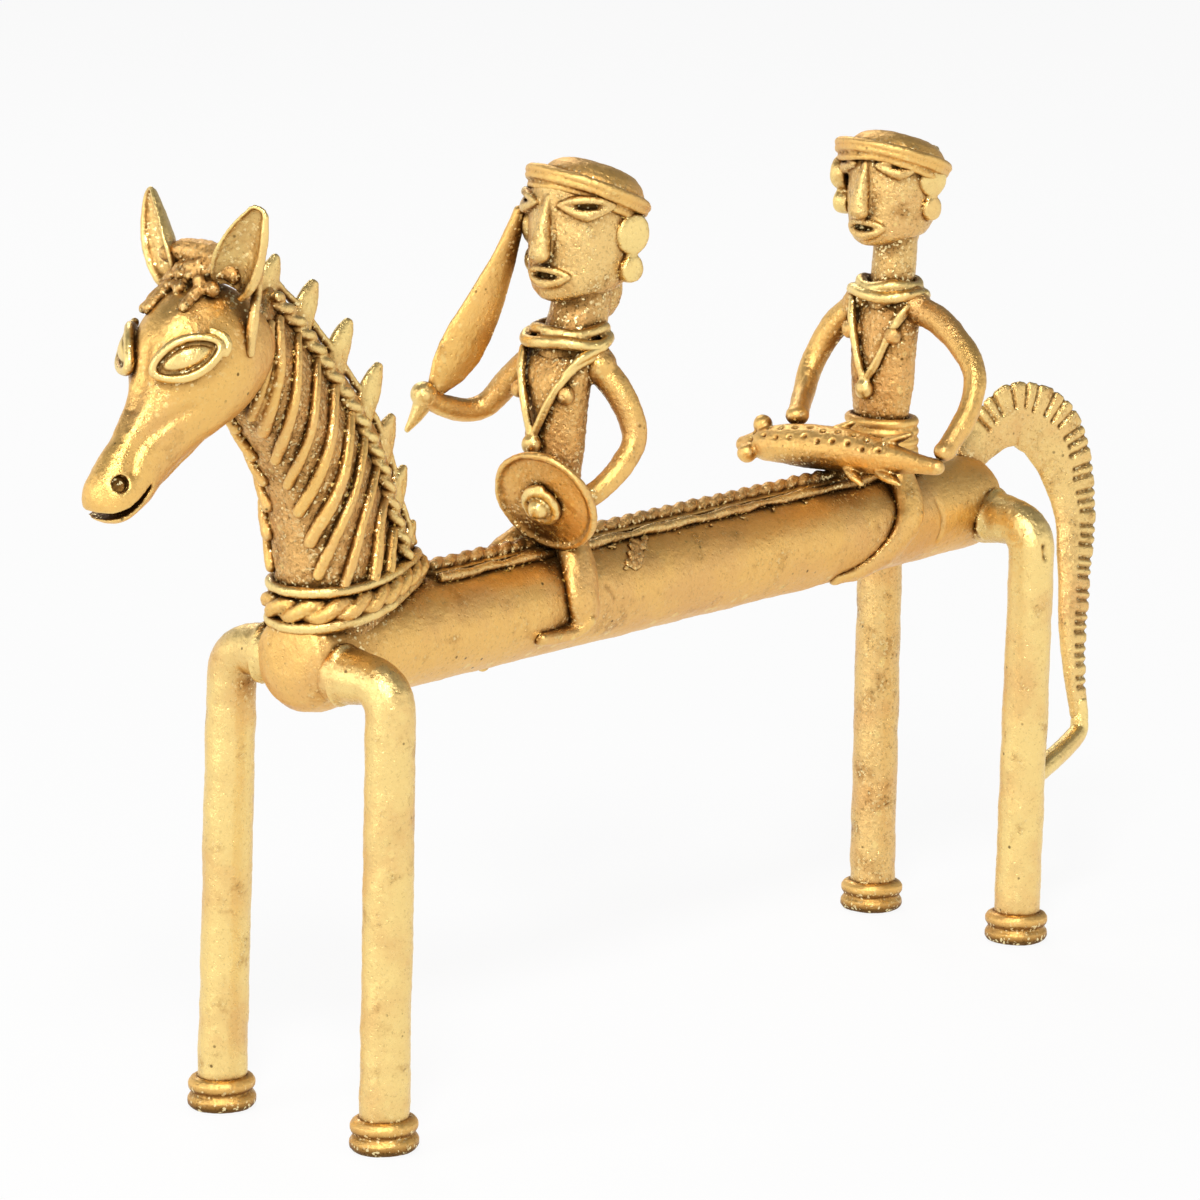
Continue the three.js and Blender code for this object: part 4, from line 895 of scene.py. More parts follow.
def make_forelock():
    poll = [
        on_head(1.8, 13.2, 7),
        on_head(0.4, 12.8, 3.6),
        on_head(0.2, 12, 0),
        on_head(1, 11.6, -3.6),
        on_head(2, 10.4, -6.6),
    ]
    lumps = [strand(poll, [1.5, 2.2, 2.6, 2.5, 1.8], count=12)]
    for i in range(FOREHEAD_CRUMBS):
        y = 6.2 * math.sin(i * GOLDEN_ANGLE)
        place = on_head(0.4 + 7.5 * (i * GOLDEN % 1), 12.6 - 0.06 * y * y, y)
        lumps.append(crumb(place, 0.75 + 0.35 * math.sin(i * 1.3)))
    for i in range(FOREHEAD_BEADS):
        y = blend(5.6, -5.6, i / (FOREHEAD_BEADS - 1))
        reach = 2.4 + 1.7 * (i % 3) + 0.5 * math.sin(i * 2.3)
        place = on_head(reach, 12.9 - 0.075 * y * y, y)
        lumps.append(bead(place, 1.15 + 0.25 * math.sin(i * 3.7)))
    for y, start, end, size in LOCKS:
        line = []
        for reach in np.linspace(start, end, 5):
            rise = np.interp(reach, (3, 7.5, 14), (10.5, 12.2, 13.1)) - 0.062 * y * y
            line.append(on_head(reach, rise, y * (1 + 0.012 * reach)))
        lumps.append(strand(line, [size * 0.9, size, size, size * 0.85], count=12))
    cast(lumps, "forelock", "brass_dark", soften=1, wave=0.8, grain=0.35, grime=0.9)


# Saddle strip
STRIP_FRONT = CHEST_X + 36.8
STRIP_REAR = RUMP_X - 18.2
STRIP_HALF = 2.3
STRIP_CRUMBS = 230
SIDE_CRUMBS = 60


def over_barrel(x, degrees, lift):
    angle = math.radians(degrees)
    reach = mm("barrel_radius") + lift
    return at(x, math.sin(angle) * reach, AXIS + math.cos(angle) * reach)


def make_saddle():
    arc = math.degrees(STRIP_HALF / mm("barrel_radius"))
    rows = []
    for x in np.linspace(STRIP_FRONT, STRIP_REAR, 70):
        outer = [over_barrel(x, a, 1.15) for a in np.linspace(-arc, arc, 7)]
        inner = [over_barrel(x, a, -0.3) for a in np.linspace(arc, -arc, 7)]
        rows.append(outer + inner)
    cast([sleeve(rows)], "saddle_strip", "brass", cell=1.3, wave=0.3)
    radius = mm("cord_radius")
    for name, side in SIDES.items():
        line = []
        for x in np.arange(STRIP_FRONT, STRIP_REAR - 1.9, 4.0):
            sway = 0.5 * math.sin(x * 0.17 + side) + 0.25 * math.sin(x * 0.53)
            line.append(over_barrel(x, side * (20.5 + sway), radius * 0.8 + 0.2 * math.sin(x)))
        widths = [radius * (1 + 0.18 * math.sin(i * 1.3)) for i in range(36)]
        cord = strand(line, widths, count=12)
        look = dict(wave=0.6, grain=0.25, grime=0.8)
        cast([cord], f"saddle_cord_{name}", "brass_bright", soften=1, **look)
    ball = mm("bead_radius")
    spine = [(x, 0, TOP + 1.45) for x in np.linspace(STRIP_FRONT + 1, STRIP_REAR - 2, 30)]
    lumps = rope(spine, ball * 0.82, ball * 0.55, 7.4, rise=0.35)
    for i in range(STRIP_CRUMBS):
        x = STRIP_FRONT + 1.5 + (STRIP_REAR - STRIP_FRONT - 4) * (i * GOLDEN % 1)
        angle = 30 * math.sin(i * 1.7) + 4 * math.sin(i * 0.9)
        size = 0.34 + 0.16 * math.sin(i * 2.9)
        lift = 0.25 + max(0, 1 - abs(angle) / 14)
        lumps.append(crumb(over_barrel(x, angle, lift), size))
    for i in range(SIDE_CRUMBS):
        x = -14.5 + 7 * (i * GOLDEN % 1) + 2 * math.sin(i)
        place = over_barrel(x, -26 - 36 * (i * GOLDEN_REST % 1), 0.05)
        lumps.append(crumb(place, 0.45 + 0.2 * math.sin(i * 1.3)))
    look = dict(wave=0.3, grain=0.22, grime=1.0)
    cast(lumps, "saddle_beading", "brass_dark", soften=1, **look)


def crumb(centre, radius):
    """A grain of spilled metal."""
    deselect()
    bpy.ops.mesh.primitive_ico_sphere_add(subdivisions=1, radius=radius * 1.15)
    obj = bpy.context.object
    points = points_of(obj) * CRUMB_SQUASH + np.asarray(centre)
    move_points(obj, points)
    return obj


# Tail: x from the rump, y and height from the axis of the barrel
TAIL = [
    (-3.2, 0, 7.6), (1.8, 0, 11), (5.2, -1.3, 13.9), (9.8, -2.8, 15.2), (15.6, -4.8, 12.4),
    (19.4, -6.4, 6), (20.8, -8.3, -3), (20.3, -9.4, -9), (18.3, -10.8, -17), (16.4, -12.2, -26.4),
    (15.8, -13.4, -36), (16.1, -14.4, -43.4),
]
TAIL_HALVES = [3.2, 4.6, 6.4, 7, 6.6, 5.6, 4.6, 4.1, 3.6, 3.3, 2.9, 2.3, 1.8]
TAIL_THIN = (0.48, 0.87, 0)
TAIL_NOTCHES = 33


def make_tail():
    points = [at(RUMP_X + x, y, AXIS + z) for x, y, z in TAIL]
    line = smooth_line(points, 0.9)
    _, side, up = frames_along(line, TAIL_THIN)
    thick = np.full(len(line), mm("tail_thickness") / 2)
    halves = stations(TAIL_HALVES, len(line))
    blade = strand(line, thick, halves, TAIL_THIN, 24, dense=True)
    piece = fused([blade], mm("fine_cell") * 1.2, 3)
    outer = up if up[len(up) // 2][0] > 0 else -up
    marks = []
    for u in np.linspace(0.1, 0.94, TAIL_NOTCHES):
        i = int(u * (len(line) - 1))
        stop = 0.38 - 0.9 / halves[i] - 0.05 * math.sin(i * 2.3)
        for face in (-1, 1):
            mark = []
            for share in np.linspace(0.98, stop, 12):
                lift = thick[i] * face * math.sqrt(1 - share * share)
                mark.append(line[i] + outer[i] * halves[i] * share + side[i] * lift)
            marks.append(mark)
    press(piece, marks, 0.5, 0.6)
    finished(piece, "tail", "brass_bright", wave=0.5, grain=0.12, grime=0.7)
    end = at(RUMP_X + TAIL[-1][0], TAIL[-1][1], AXIS + TAIL[-1][2])
    line = [
        end + at(0.2, 0, 2.2),
        end + at(0, -0.2, -1),
        end + at(-2.4, -0.8, -4.2),
        at(HIND_X + 2.6, -17.8, end[2] - 9.2),
    ]
    cast([strand(line, [1.5, 2.0, 2.1, 1.8], count=12)], "tail_tip", "brass_bright")


# Riders. Every rise is over the seat; x of torso, discs, garland and pendant is from the seat
# torso: rise, x, half depth, half width; discs: x, y, rise of the nubs on the chest
# cap: x, y, rise, radius, tilt forward, roll, height of the crown
# head: x, y, rises of chin and top, radius; neck: radius, x, rise
# eyes: rise, height; nose: rises of its ends; mouth: rise; nape: places and radii of its lumps
# ear and drop: rise, radius; the ear also its way out and back on each side
# rings: x, half depth, half width, rise; garland: lines of threads; pendant: place, radius
# arms: x, y, rise; legs: x, degrees round the barrel, lift; leg_radii: along, then across
FRONT = dict(
    name="front_rider",
    seat=-26.6,
    torso=[
        (0, -0.6, 4.4, 5.6), (8.5, 0, 4, 5.4), (18.5, 0.5, 4.2, 6), (27, 0.7, 4.6, 7),
        (31.5, 2, 4.2, 7.4), (34, 3, 3.2, 5.4),
    ],
    discs=[(-2.2, -5.8, 26), (-2.2, 5.8, 26)],
    cap=(-18.7, -0.4, 60, 11.8, 0.42, 0.09, 4.9),
    head=(-19.3, -0.3, 42.2, 60.5, 10),
    neck=(5.3, -23.3, 34.4),
    eyes=(59.6, 1.85),
    nose=(60.6, 50.9),
    mouth=47,
    ear=(54, 3.8, (0.9, 0.9), (1.7, -1.5)),
    drop=(47.8, 2.6),
    nape=[((-15.8, -1, 43), 4.6), ((-16.8, 2, 46), 5), ((-19.5, -1.2, 39.5), 3.6)],
    rings=[(-22.4, 5.9, 6.2, 36.6), (-23.2, 6.5, 7.9, 34.8)],
    garland=[
        [(3.8, -7.8, 33), (-1.8, -6.9, 31.3), (-3.8, -5.1, 28.6), (-4.9, -2.3, 23.7), (-5, 0.6, 18.1)],
        [(-1, 6.3, 33), (-3.6, 4.6, 28.6), (-4.9, 2.6, 23.7), (-5, 1.1, 18.1)],
    ],
    pendant=((-5, 0.8, 16.7), 1.75),
    arms=dict(
        left=[
            (-22.6, -6.2, 31.2), (-20.8, -10.6, 25.6), (-20, -13.3, 18.5), (-23.5, -13.2, 13.5),
            (-28.2, -11.6, 9.4), (-31.6, -10.2, 7.9),
        ],
        right=[
            (-23.2, 6, 31.6), (-24, 12, 26.2), (-25.6, 16.2, 21.4), (-29, 18.2, 20.3),
            (-34, 19.6, 21.6), (-36.6, 20.6, 23),
        ],
    ),
    arm_radii=[2.9, 2.6, 2.3, 2.1, 2.0],
    legs=dict(
        left=[
            (-27.2, 22, 3.6), (-28.6, 50, 2), (-29.6, 78, 1.7), (-29.2, 100, 1.6),
            (-31.5, 111, 1.5), (-36, 115, 1.4), (-39.6, 115, 1.2),
        ],
        right=[
            (-27.4, 22, 3.6), (-31, 46, 2.4), (-34.5, 75, 1.7), (-35, 105, 1.6), (-36, 130, 1.5),
            (-38.5, 149, 1.8), (-41, 160, 2.6),
        ],
    ),
    leg_radii=([3.2, 3.9, 3.9, 3.4], [3, 2.4, 1.9, 1.8]),
)
REAR_LEG = [(67.8, 22, 3.4), (67, 50, 1.8), (65.8, 75, 1.4), (62.5, 100, 1.2), (58.5, 120, 1.1)]
REAR = dict(
    name="rear_rider",
    seat=69.2,
    torso=[
        (0, 0, 4.2, 5.4), (8, -0.2, 3.8, 5.6), (15, -0.1, 4.2, 6.7), (22, 0.2, 4.4, 7),
        (28.5, 1, 4.2, 7), (31, 1.2, 3, 4.8),
    ],
    discs=[(-3, -5.4, 24.6), (-3, 5.4, 24.6)],
    cap=(71, 0.3, 56.3, 11.3, 0.36, 0.02, 4.2),
    head=(71.3, 0, 41.5, 57.5, 8.8),
    neck=(4.2, 70.4, 31.4),
    eyes=(56.8, 1.65),
    nose=(57.6, 48.2),
    mouth=45,
    ear=(53.8, 3.4, (0.7, 1.9), (0.6, -3.4)),
    drop=(48.4, 2.4),
    nape=[((73.4, -0.6, 43.5), 3.8), ((72.6, 0, 40.5), 3.2)],
    rings=[(70.7, 5.1, 5.4, 33.4), (70.4, 5.7, 7.3, 31.8)],
    garland=[
        [(2.5, -7, 30.8), (-2.6, -6, 28.2), (-4.2, -4.6, 25), (-5, -1.9, 19), (-5, 0.4, 15.6)],
        [(-2, 5.9, 30.6), (-4, 4.6, 26.5), (-5, 2.6, 20.6), (-5, 0.9, 15.6)],
    ],
    pendant=((-4.9, 0.6, 13.9), 1.8),
    arms=dict(
        left=[
            (70.5, -5.5, 30), (70, -13.4, 27), (67.4, -22.4, 20.5), (62.8, -25, 13),
            (56.2, -24.8, 6.6),
        ],
        right=[
            (70, 5.5, 29.3), (68.6, 11, 24.5), (66, 14.2, 17.5), (61, 12.4, 12.2), (54.4, 8.6, 9.2),
        ],
    ),
    arm_radii=[2.8, 2.6, 2.3, 2.1, 2.0],
    legs=dict(
        left=REAR_LEG + [(53.5, 136, 1), (48.5, 143, 0.9)],
        right=REAR_LEG + [(54.5, 134, 1), (50.5, 141, 0.9)],
    ),
    leg_radii=([3, 3.4, 3.4, 3.1, 2.8, 2.3, 1.8], [2.8, 2.1, 1.6, 1.5, 1.4, 1.4, 1.2]),
)
RIDERS = (FRONT, REAR)


def seated(places):
    return [at(x, y, SEAT + rise) for x, y, rise in places]


def make_torsos():
    for rider in RIDERS:
        table = np.array(rider["torso"], float)
        line = smooth_line(table[:, :3], 1.2)
        widths = np.interp(line[:, 0], table[:, 0], table[:, 3])
        turn = round_turn(24)
        seat = rider["seat"]
        rows = []
        for (rise, x, depth), width in zip(line, widths):
            middle = at(seat + x, 0, SEAT - 1 + rise * 1.03)
            rows.append([middle + at(math.cos(a) * depth, math.sin(a) * width, 0) for a in turn])
        lumps = [sleeve(rows)]
        x, depth, width, rise = rider["rings"][0]
        lumps.append(bead(at(x, 0, SEAT + rise - 1.4), depth, (0.95, width / depth, 0.4)))
        for x, y, rise in rider["discs"]:
            lumps.append(bead((seat + x - 0.9, y * 0.92, SEAT + rise), 1.75, (0.85, 1, 1)))
        for name, side in SIDES.items():
            first, second = (at(*place) for place in seated(rider["arms"][name])[:2])
            inner = at(seat + 2.4, side * 2.5, first[2] + 1.2)
            outer = blend(first, second, 0.4)
            lumps.append(strand([inner, first + at(0, 0, 0.4), outer], [3.3, 3.4, 2.7], count=16))
        look = dict(wave=0.6, grain=0.3, grime=0.85)
        cast(lumps, f"{rider['name']}_torso", "brass", cell=1.2, **look)


# Shares of the radius of a cap with the height of its under side, or the share of its brim
CAP_UNDER = [(0, -0.6), (0.7, -0.6), (0.86, -0.7), (0.95, -0.4)]
CAP_BRIM = [(0.975, 0.1), (0.955, 0.26), (0.99, 0.38), (1, 0.58), (0.985, 0.8), (0.94, 0.97)]
CAP_BRIM += [(0.88, 0.9), (0.85, 0.72), (0.8, 0.8), (0.5, 1), (0, 1.1)]


def make_caps():
    for rider in RIDERS:
        x, y, rise, radius, tilt, roll, dome = rider["cap"]
        direction = (math.sin(tilt), -math.sin(roll), 1)
        brim = mm("brim_height")
        profile = scaled(CAP_UNDER, radius) + scaled(CAP_BRIM, radius, brim)
        lumps = [turned(profile, 64, (x, y, SEAT + rise), direction)]
        lean = unit(np.array(direction))
        back = unit(np.cross(np.cross(lean, at(1, 0, 0)), lean))
        other = np.cross(lean, back)
        crown = []
        for reach in (0.0, 0.22, 0.42, 0.6, 0.76, 0.9, 1.0):
            height = brim * 0.55 + dome * 0.98 * math.sin(reach * math.pi / 2)
            wide = radius * 0.8 * math.cos(reach * math.pi / 2) ** 0.62 + 0.05
            middle = at(x, y, SEAT + rise) + lean * height + back * radius * (0.12 - 0.05 * reach)
            turn = round_turn(32)
            ring = [middle + back * math.cos(t) * wide + other * math.sin(t) * wide for t in turn]
            crown.append(ring)
        lumps.append(sleeve(crown))
        hem = []
        reach = radius * 0.83
        for t in round_turn(20):
            spot = at(x, y, SEAT + rise) - lean * (1.2 + 0.3 * math.sin(3 * t))
            hem.append(spot + back * math.cos(t) * reach + other * math.sin(t) * reach)
        lumps.append(ring_thread(hem, 0.75, count=10))
        look = dict(wave=0.7, grain=0.12, grime=0.5)
        cast(lumps, f"{rider['name']}_cap", "brass_dark", **look)


# Share of the height of the head, share of its radius, way forward
SKULL = [
    (-0.02, 0.3, 0.42), (0.0, 0.5, 0.4), (0.06, 0.72, 0.26), (0.18, 0.88, 0.13), (0.36, 0.96, 0.05),
    (0.6, 1, 0.02), (0.8, 1, 0), (1.1, 0.97, 0),
]


def on_face(rider, angle, rise, lift=0.0):
    x, y, chin, top, radius = rider["head"]
    share = (rise - chin) / (top - chin)
    wide = read_row([0.66, 0.88, 0.95, 0.98, 1, 1, 1], share) * radius + lift
    forward = read_row([0.28, 0.12, 0.06, 0.04, 0.02, 0, 0], share) * radius
    return at(x - forward - math.cos(angle) * wide, y - math.sin(angle) * wide, SEAT + rise)


def lid(rider, angle, rise, spread, sag, radii, point=0.0):
    """Thread over (positive sag) or under an eye or mouth; point makes its middle angular."""
    line = []
    for v in np.linspace(-1, 1, 11):
        bow = (1 - v * v) * (1 - point) + (1 - abs(v)) * point
        line.append(on_face(rider, angle + spread * v, rise + sag * bow, 0.25))
    return strand(line, radii, count=12, pitch=0.6)


def make_heads():
    for rider in RIDERS:
        x, y, chin, top, radius = rider["head"]
        height = top - chin
        turn = round_turn(28)
        rows = []
        for share, wide, forward in smooth_line(SKULL, 0.04):
            row = []
            for a in turn:
                tuck = 0.22 * (math.cos(a) + 1) * radius * wide * max(0.0, 1 - share / 0.1)
                ahead = x - forward * radius + math.cos(a) * radius * wide
                across = y + math.sin(a) * radius * wide * 0.96
                row.append(at(ahead, across, SEAT + chin + height * share + tuck))
            rows.append(row)
        lumps = [sleeve(rows)]
        thick, neck_x, neck_foot = rider["neck"]
        throat = [
            (neck_x, 0, neck_foot - 2),
            ((neck_x + x) / 2 + 1, y / 2, (neck_foot + chin) / 2),
            (x + 1.2, y, chin + height * 0.3),
        ]
        lumps.append(strand(seated(throat), thick, count=20))
        high, low = rider["nose"]
        nose = [
            on_face(rider, 0, high, -0.7),
            on_face(rider, 0, blend(high, low, 0.35), 0.4),
            on_face(rider, 0, blend(high, low, 0.7), 1.2),
            on_face(rider, 0, low, 1.7),
        ]
        lumps.append(strand(nose, [0.8, 1.15, 1.6, 2.1], [1, 1.4, 1.7, 1.7], (0, 1, 0), 14, 0.6))
        eye, tall = rider["eyes"]
        mouth = rider["mouth"]
        for side in (-1, 1):
            lumps.append(lid(rider, side * 0.76, eye, 0.5, tall * 0.6, [0.5, 0.8, 0.85, 0.8, 0.5]))
            lower = [0.5, 0.85, 1.25, 0.85, 0.5]
            lumps.append(lid(rider, side * 0.76, eye, 0.5, -tall * 0.88, lower, point=0.6))
        lumps.append(lid(rider, 0, mouth, 0.5, 1.05, [0.5, 0.75, 0.75, 0.75, 0.5]))
        lumps.append(lid(rider, 0, mouth, 0.5, -1.5, [0.5, 0.95, 1.1, 0.95, 0.5]))
        for place, size in rider["nape"]:
            lumps.append(bead(seated([place])[0], size, (1, 0.9, 1.25)))
        piece = fused(lumps, mm("fine_cell"), 2)
        slits = []
        for turn_to, rise in ((-0.76, eye), (0.76, eye), (0, mouth - 0.15)):
            spread = np.linspace(-0.38, 0.38, 17)
            slits.append([on_face(rider, turn_to + t, rise, 0.1) for t in spread])
        press(piece, slits, 0.42, 1.0)
        finished(piece, f"{rider['name']}_head", "brass_bright", wave=0.4, grain=0.14, grime=0.8)


LOBE = [(0, -2.2), (1, -2.2), (1.03, -0.5), (1, 0.45), (0.9, 0.95), (0.7, 1.2), (0.4, 1.35), (0, 1.4)]


def make_lobes():
    for rider in RIDERS:
        x, y, _, _, radius = rider["head"]
        level, size, out, back = rider["ear"]
        drop, drop_size = rider["drop"]
        for index, (name, side) in enumerate(SIDES.items()):
            reach = radius * 0.95 + out[index] - 0.7
            lumps = []
            for rise, r, shift in ((level, size, 0), (drop, drop_size, -0.1)):
                centre = (x + back[index], y + side * (reach + shift), SEAT + rise)
                lumps.append(turned(scaled(LOBE, r), 28, centre, (-0.12, side, 0)))
            cast(lumps, f"{rider['name']}_ear_{name}", "brass_bright", wave=0.5, grain=0.12)


def oval_line(x, depth, width, rise, steps=24):
    turn = round_turn(steps)
    return [at(x + math.cos(a) * depth, math.sin(a) * width, SEAT + rise) for a in turn]


def make_necklaces():
    for rider in RIDERS:
        lumps = []
        for x, depth, width, rise in rider["rings"]:
            line = oval_line(x, depth, width, rise)
            line = [p + at(0, 0, 0.35 * math.sin(i * 0.8 + rise)) for i, p in enumerate(line)]
            lumps.append(ring_thread(line, 1.12))
        look = dict(soften=1, wave=0.6, grain=0.14)
        cast(lumps, f"{rider['name']}_neck_rings", "brass_bright", **look)
        seat = rider["seat"]
        lumps = []
        for line in rider["garland"]:
            places = seated([(seat + x + 0.1, y, rise) for x, y, rise in line])
            lumps.append(strand(places, [0.8, 0.8, 0.75], count=12))
        shawl = [(seat + x + 0.3, y - 0.5, rise + 1.35) for x, y, rise in rider["garland"][0]]
        lumps.append(strand(seated(shawl[:3]), [0.85, 0.8, 0.6], count=12))
        (x, y, rise), size = rider["pendant"]
        lumps.append(bead((seat + x, y, SEAT + rise), size * 1.08, (0.9, 1, 1.05)))
        look = dict(soften=1, wave=0.5, grain=0.14)
        cast(lumps, f"{rider['name']}_garland", "brass_bright", **look)


def make_limbs():
    for rider in RIDERS:
        for name, side in SIDES.items():
            places = seated(rider["arms"][name])
            radii = rider["arm_radii"]
            lumps = [strand(places, radii, count=18)]
            lumps.append(bead(places[-1], radii[-1] * 1.1, (1.15, 1, 0.9)))
            lumps.append(bead(places[0] + at(0, side * 0.8, -0.6), radii[0] * 1.12))
            look = dict(soften=3, cell=1.2, grain=0.16, grime=0.5)
            cast(lumps, f"{rider['name']}_arm_{name}", "brass", wave=0.5, **look)
            route = []
            for x, angle, lift in rider["legs"][name]:
                route.append(over_barrel(x, side * angle, lift - 0.9))
            wide, thin = rider["leg_radii"]
            bend = 4 if rider is FRONT else len(route)
            lumps = [strand(route[:bend], wide[:bend], thin[:bend], (1, 0, 0), 20)]
            if bend < len(route):
                foot = route[bend - 1 :]
                lumps.append(strand(foot, [2.6, 2.2, 1.7, 1.5], [1.5, 1.5, 1.4, 1.3], count=16))
            else:
                outer = [p + at(wide[i] * 0.62, 0, 0) for i, p in enumerate(route)]
                lumps.append(strand(outer[1:], [1.0, 1.35, 1.4, 1.3, 1.1], count=12))
            cast(lumps, f"{rider['name']}_leg_{name}", "brass", wave=0.6, **look)


SHIELD_AT = (-34.2, -5.4, 8.2)
SHIELD_FACING = (-0.89, -0.13, -0.4)
SHIELD = [(0, -0.2), (0.9, -0.1), (0.98, 0.2), (1, 0.9), (0.97, 1.55), (0.91, 1.65)]
SHIELD += [(0.87, 1.2), (0.84, 0.95), (0.6, 1.25), (0.3, 1.5), (0, 1.6)]
BOSS = [(0, 1.2), (2.2, 1.2), (2.1, 2.6), (1.8, 4.0), (1.2, 4.9), (0.5, 5.2), (0, 5.25)]
BOSS_STEPS = 34
BOSS_TURN = 2.35 * math.pi


def make_shield():
    centre = seated([SHIELD_AT])[0]
    disc = turned(scaled(SHIELD, mm("shield_radius")), 64, centre, SHIELD_FACING)
    cast([disc], "shield", "brass", wave=0.7, grain=0.14, grime=0.6)
    turn = Vector((0, 0, 1)).rotation_difference(Vector(SHIELD_FACING)).to_matrix()
    coil = []
    for share in np.linspace(0, 1, BOSS_STEPS):
        angle = share * BOSS_TURN
        reach = 3.3 - 0.5 * share
        place = (math.cos(angle) * reach, math.sin(angle) * reach, 2.1 + 0.5 * share)
        coil.append(centre + np.array(turn @ Vector(place)))
    lumps = [strand(coil, [0.95, 0.95, 0.8], count=10, pitch=0.7)]
    lumps.append(turned(BOSS, 20, centre, SHIELD_FACING))
    cast(lumps, "shield_boss", "brass_bright", soften=1, wave=0.2)


# x, y and rise over the seat along the blade
BLADE = [
    (-35.2, 20.4, 24.6), (-32.2, 18.2, 30), (-29.6, 16.3, 36), (-26.4, 13.6, 45),
    (-24.6, 11.3, 53.2), (-24, 10.6, 56.4),
]
BLADE_HALVES = [1.8, 3.6, 4.4, 4.4, 3.9, 3.4, 2.8, 2.2, 1.7, 1.2]
BLADE_THIN = (0.45, 0.89, 0)


def make_sword():
    thick = mm("blade_thickness") / 2
    line = smooth_line(seated(BLADE), 0.8)
    halves = stations(BLADE_HALVES, len(line))
    lumps = [strand(line, thick, halves, BLADE_THIN, 20, dense=True)]
    cast(lumps, "blade", "brass", soften=3, wave=0.4)
    knob = at(-37.6, 21, SEAT + 23.9)
    point = [knob + at(0.2, 0, -1), knob + at(-0.8, 1, -3.8), knob + at(-1.9, 2.2, -6.4)]
    lumps = [bead(knob, 2.5, (1, 1, 0.95)), strand(point, [2.0, 1.6, 1.1, 0.5], count=12)]
    cast(lumps, "blade_pommel", "brass_bright")


# x, y and rise over the seat along the fish, and the foot and tip of each fin
FISH = [
    (50.4, 18, 3), (50.8, 12.6, 3.7), (51.4, 6, 4.3), (52.4, -5, 4.5), (53.3, -15, 4.1),
    (54, -24.6, 3.8),
]
FISH_RADII = [1.7, 3.2, 3.9, 4.2, 4.2, 4, 3.5, 2.8, 2, 1.5]
FINS = [
    ((53.2, 0, 7), (54.4, -4.6, 9.6)), ((54, -12, 6.6), (55.4, -17.4, 8.8)),
    ((50.6, -6.6, 1.6), (49.4, -10.6, -0.6)), ((51.6, -13.4, 1.6), (50.8, -18.4, 0.2)),
]


def make_fish():
    line = smooth_line(seated(FISH), 0.8)
    radii = stations(FISH_RADII, len(line))
    lumps = [strand(line, radii, count=20, dense=True)]
    for x, y, rise in ((51.4, 14.6, 7), (47.6, 15.2, 2)):
        lumps.append(bead((x, y, SEAT + rise), 1.9))
    for foot, tip in FINS:
        leaf = seated([foot, tip])
        lumps.append(strand(leaf, [1.3, 1.7, 1.5, 0.7], [1, 1, 0.8, 0.5], count=12, pitch=0.5))
    piece = fused(lumps, mm("fine_cell"), 2)
    dots = []
    for i in range(4, len(line) - 14, 4):
        for angle in (212, 246):
            lean = math.radians(angle + 6 * math.sin(i))
            out = at(math.cos(lean), 0, -math.sin(lean)) * radii[i]
            dots.append([line[i] + out])
    press(piece, dots, 0.5, 0.8)
    finished(piece, "fish", "brass", wave=0.4, grain=0.12, grime=0.5)


def make_belt():
    lumps = []
    for rise in (7.6, 5.7, 3.8, 2.0):
        lumps.append(ring_thread(oval_line(69.1, 5.0, 6.6, rise), 0.98, count=10))
    cast(lumps, "waist_band", "brass_dark", soften=1)


# Finish of the metal: colour and roughness of each slot
# Near-white colour of the painted glints
GLINT = (1.0, 0.84, 0.44, 1)
METALS = {"brass": ("gold", 0.33), "brass_bright": ("bright", 0.27), "brass_dark": ("gold", 0.38)}


def blank(owner):
    """Empty node tree of a material or a world."""
    owner.use_nodes = True
    owner.node_tree.nodes.clear()
    return owner.node_tree


def add(tree, kind, **values):
    node = tree.nodes.new(kind)
    for key, value in values.items():
        if key.startswith("in_"):
            node.inputs[key[3:].replace("_", " ")].default_value = value
        else:
            setattr(node, key, value)
    return node


def feed(tree, socket, value):
    if isinstance(value, bpy.types.NodeSocket):
        tree.links.new(value, socket)
    else:
        socket.default_value = value


def ramp(tree, source, low, high):
    """Smooth step from 0 at low to 1 at high."""
    node = add(tree, "ShaderNodeMapRange", interpolation_type="SMOOTHSTEP")
    node.inputs["From Min"].default_value = low
    node.inputs["From Max"].default_value = high
    tree.links.new(source, node.inputs["Value"])
    return node.outputs["Result"]


def colour_mix(tree, share, first, second):
    node = add(tree, "ShaderNodeMix", data_type="RGBA")
    for socket, value in ((node.inputs[0], share), (node.inputs[6], first), (node.inputs[7], second)):
        feed(tree, socket, value)
    return node.outputs[2]


def maths(tree, operation, first, second=0.0, third=None, clamp=False):
    node = add(tree, "ShaderNodeMath", operation=operation, use_clamp=clamp)
    feed(tree, node.inputs[0], first)
    feed(tree, node.inputs[1], second)
    if third is not None:
        feed(tree, node.inputs[2], third)
    return node.outputs[0]


def times(tree, first, second):
    return maths(tree, "MULTIPLY", first, second)


def cloud(tree, where, scale, detail=4.0, rough=0.6):
    node = add(tree, "ShaderNodeTexNoise", in_Scale=scale, in_Detail=detail, in_Roughness=rough)
    tree.links.new(where, node.inputs["Vector"])
    return node.outputs["Fac"]


def grains(tree, where, scale, output):
    node = add(tree, "ShaderNodeTexVoronoi", in_Scale=scale)
    tree.links.new(where, node.inputs["Vector"])
    return node.outputs[output]
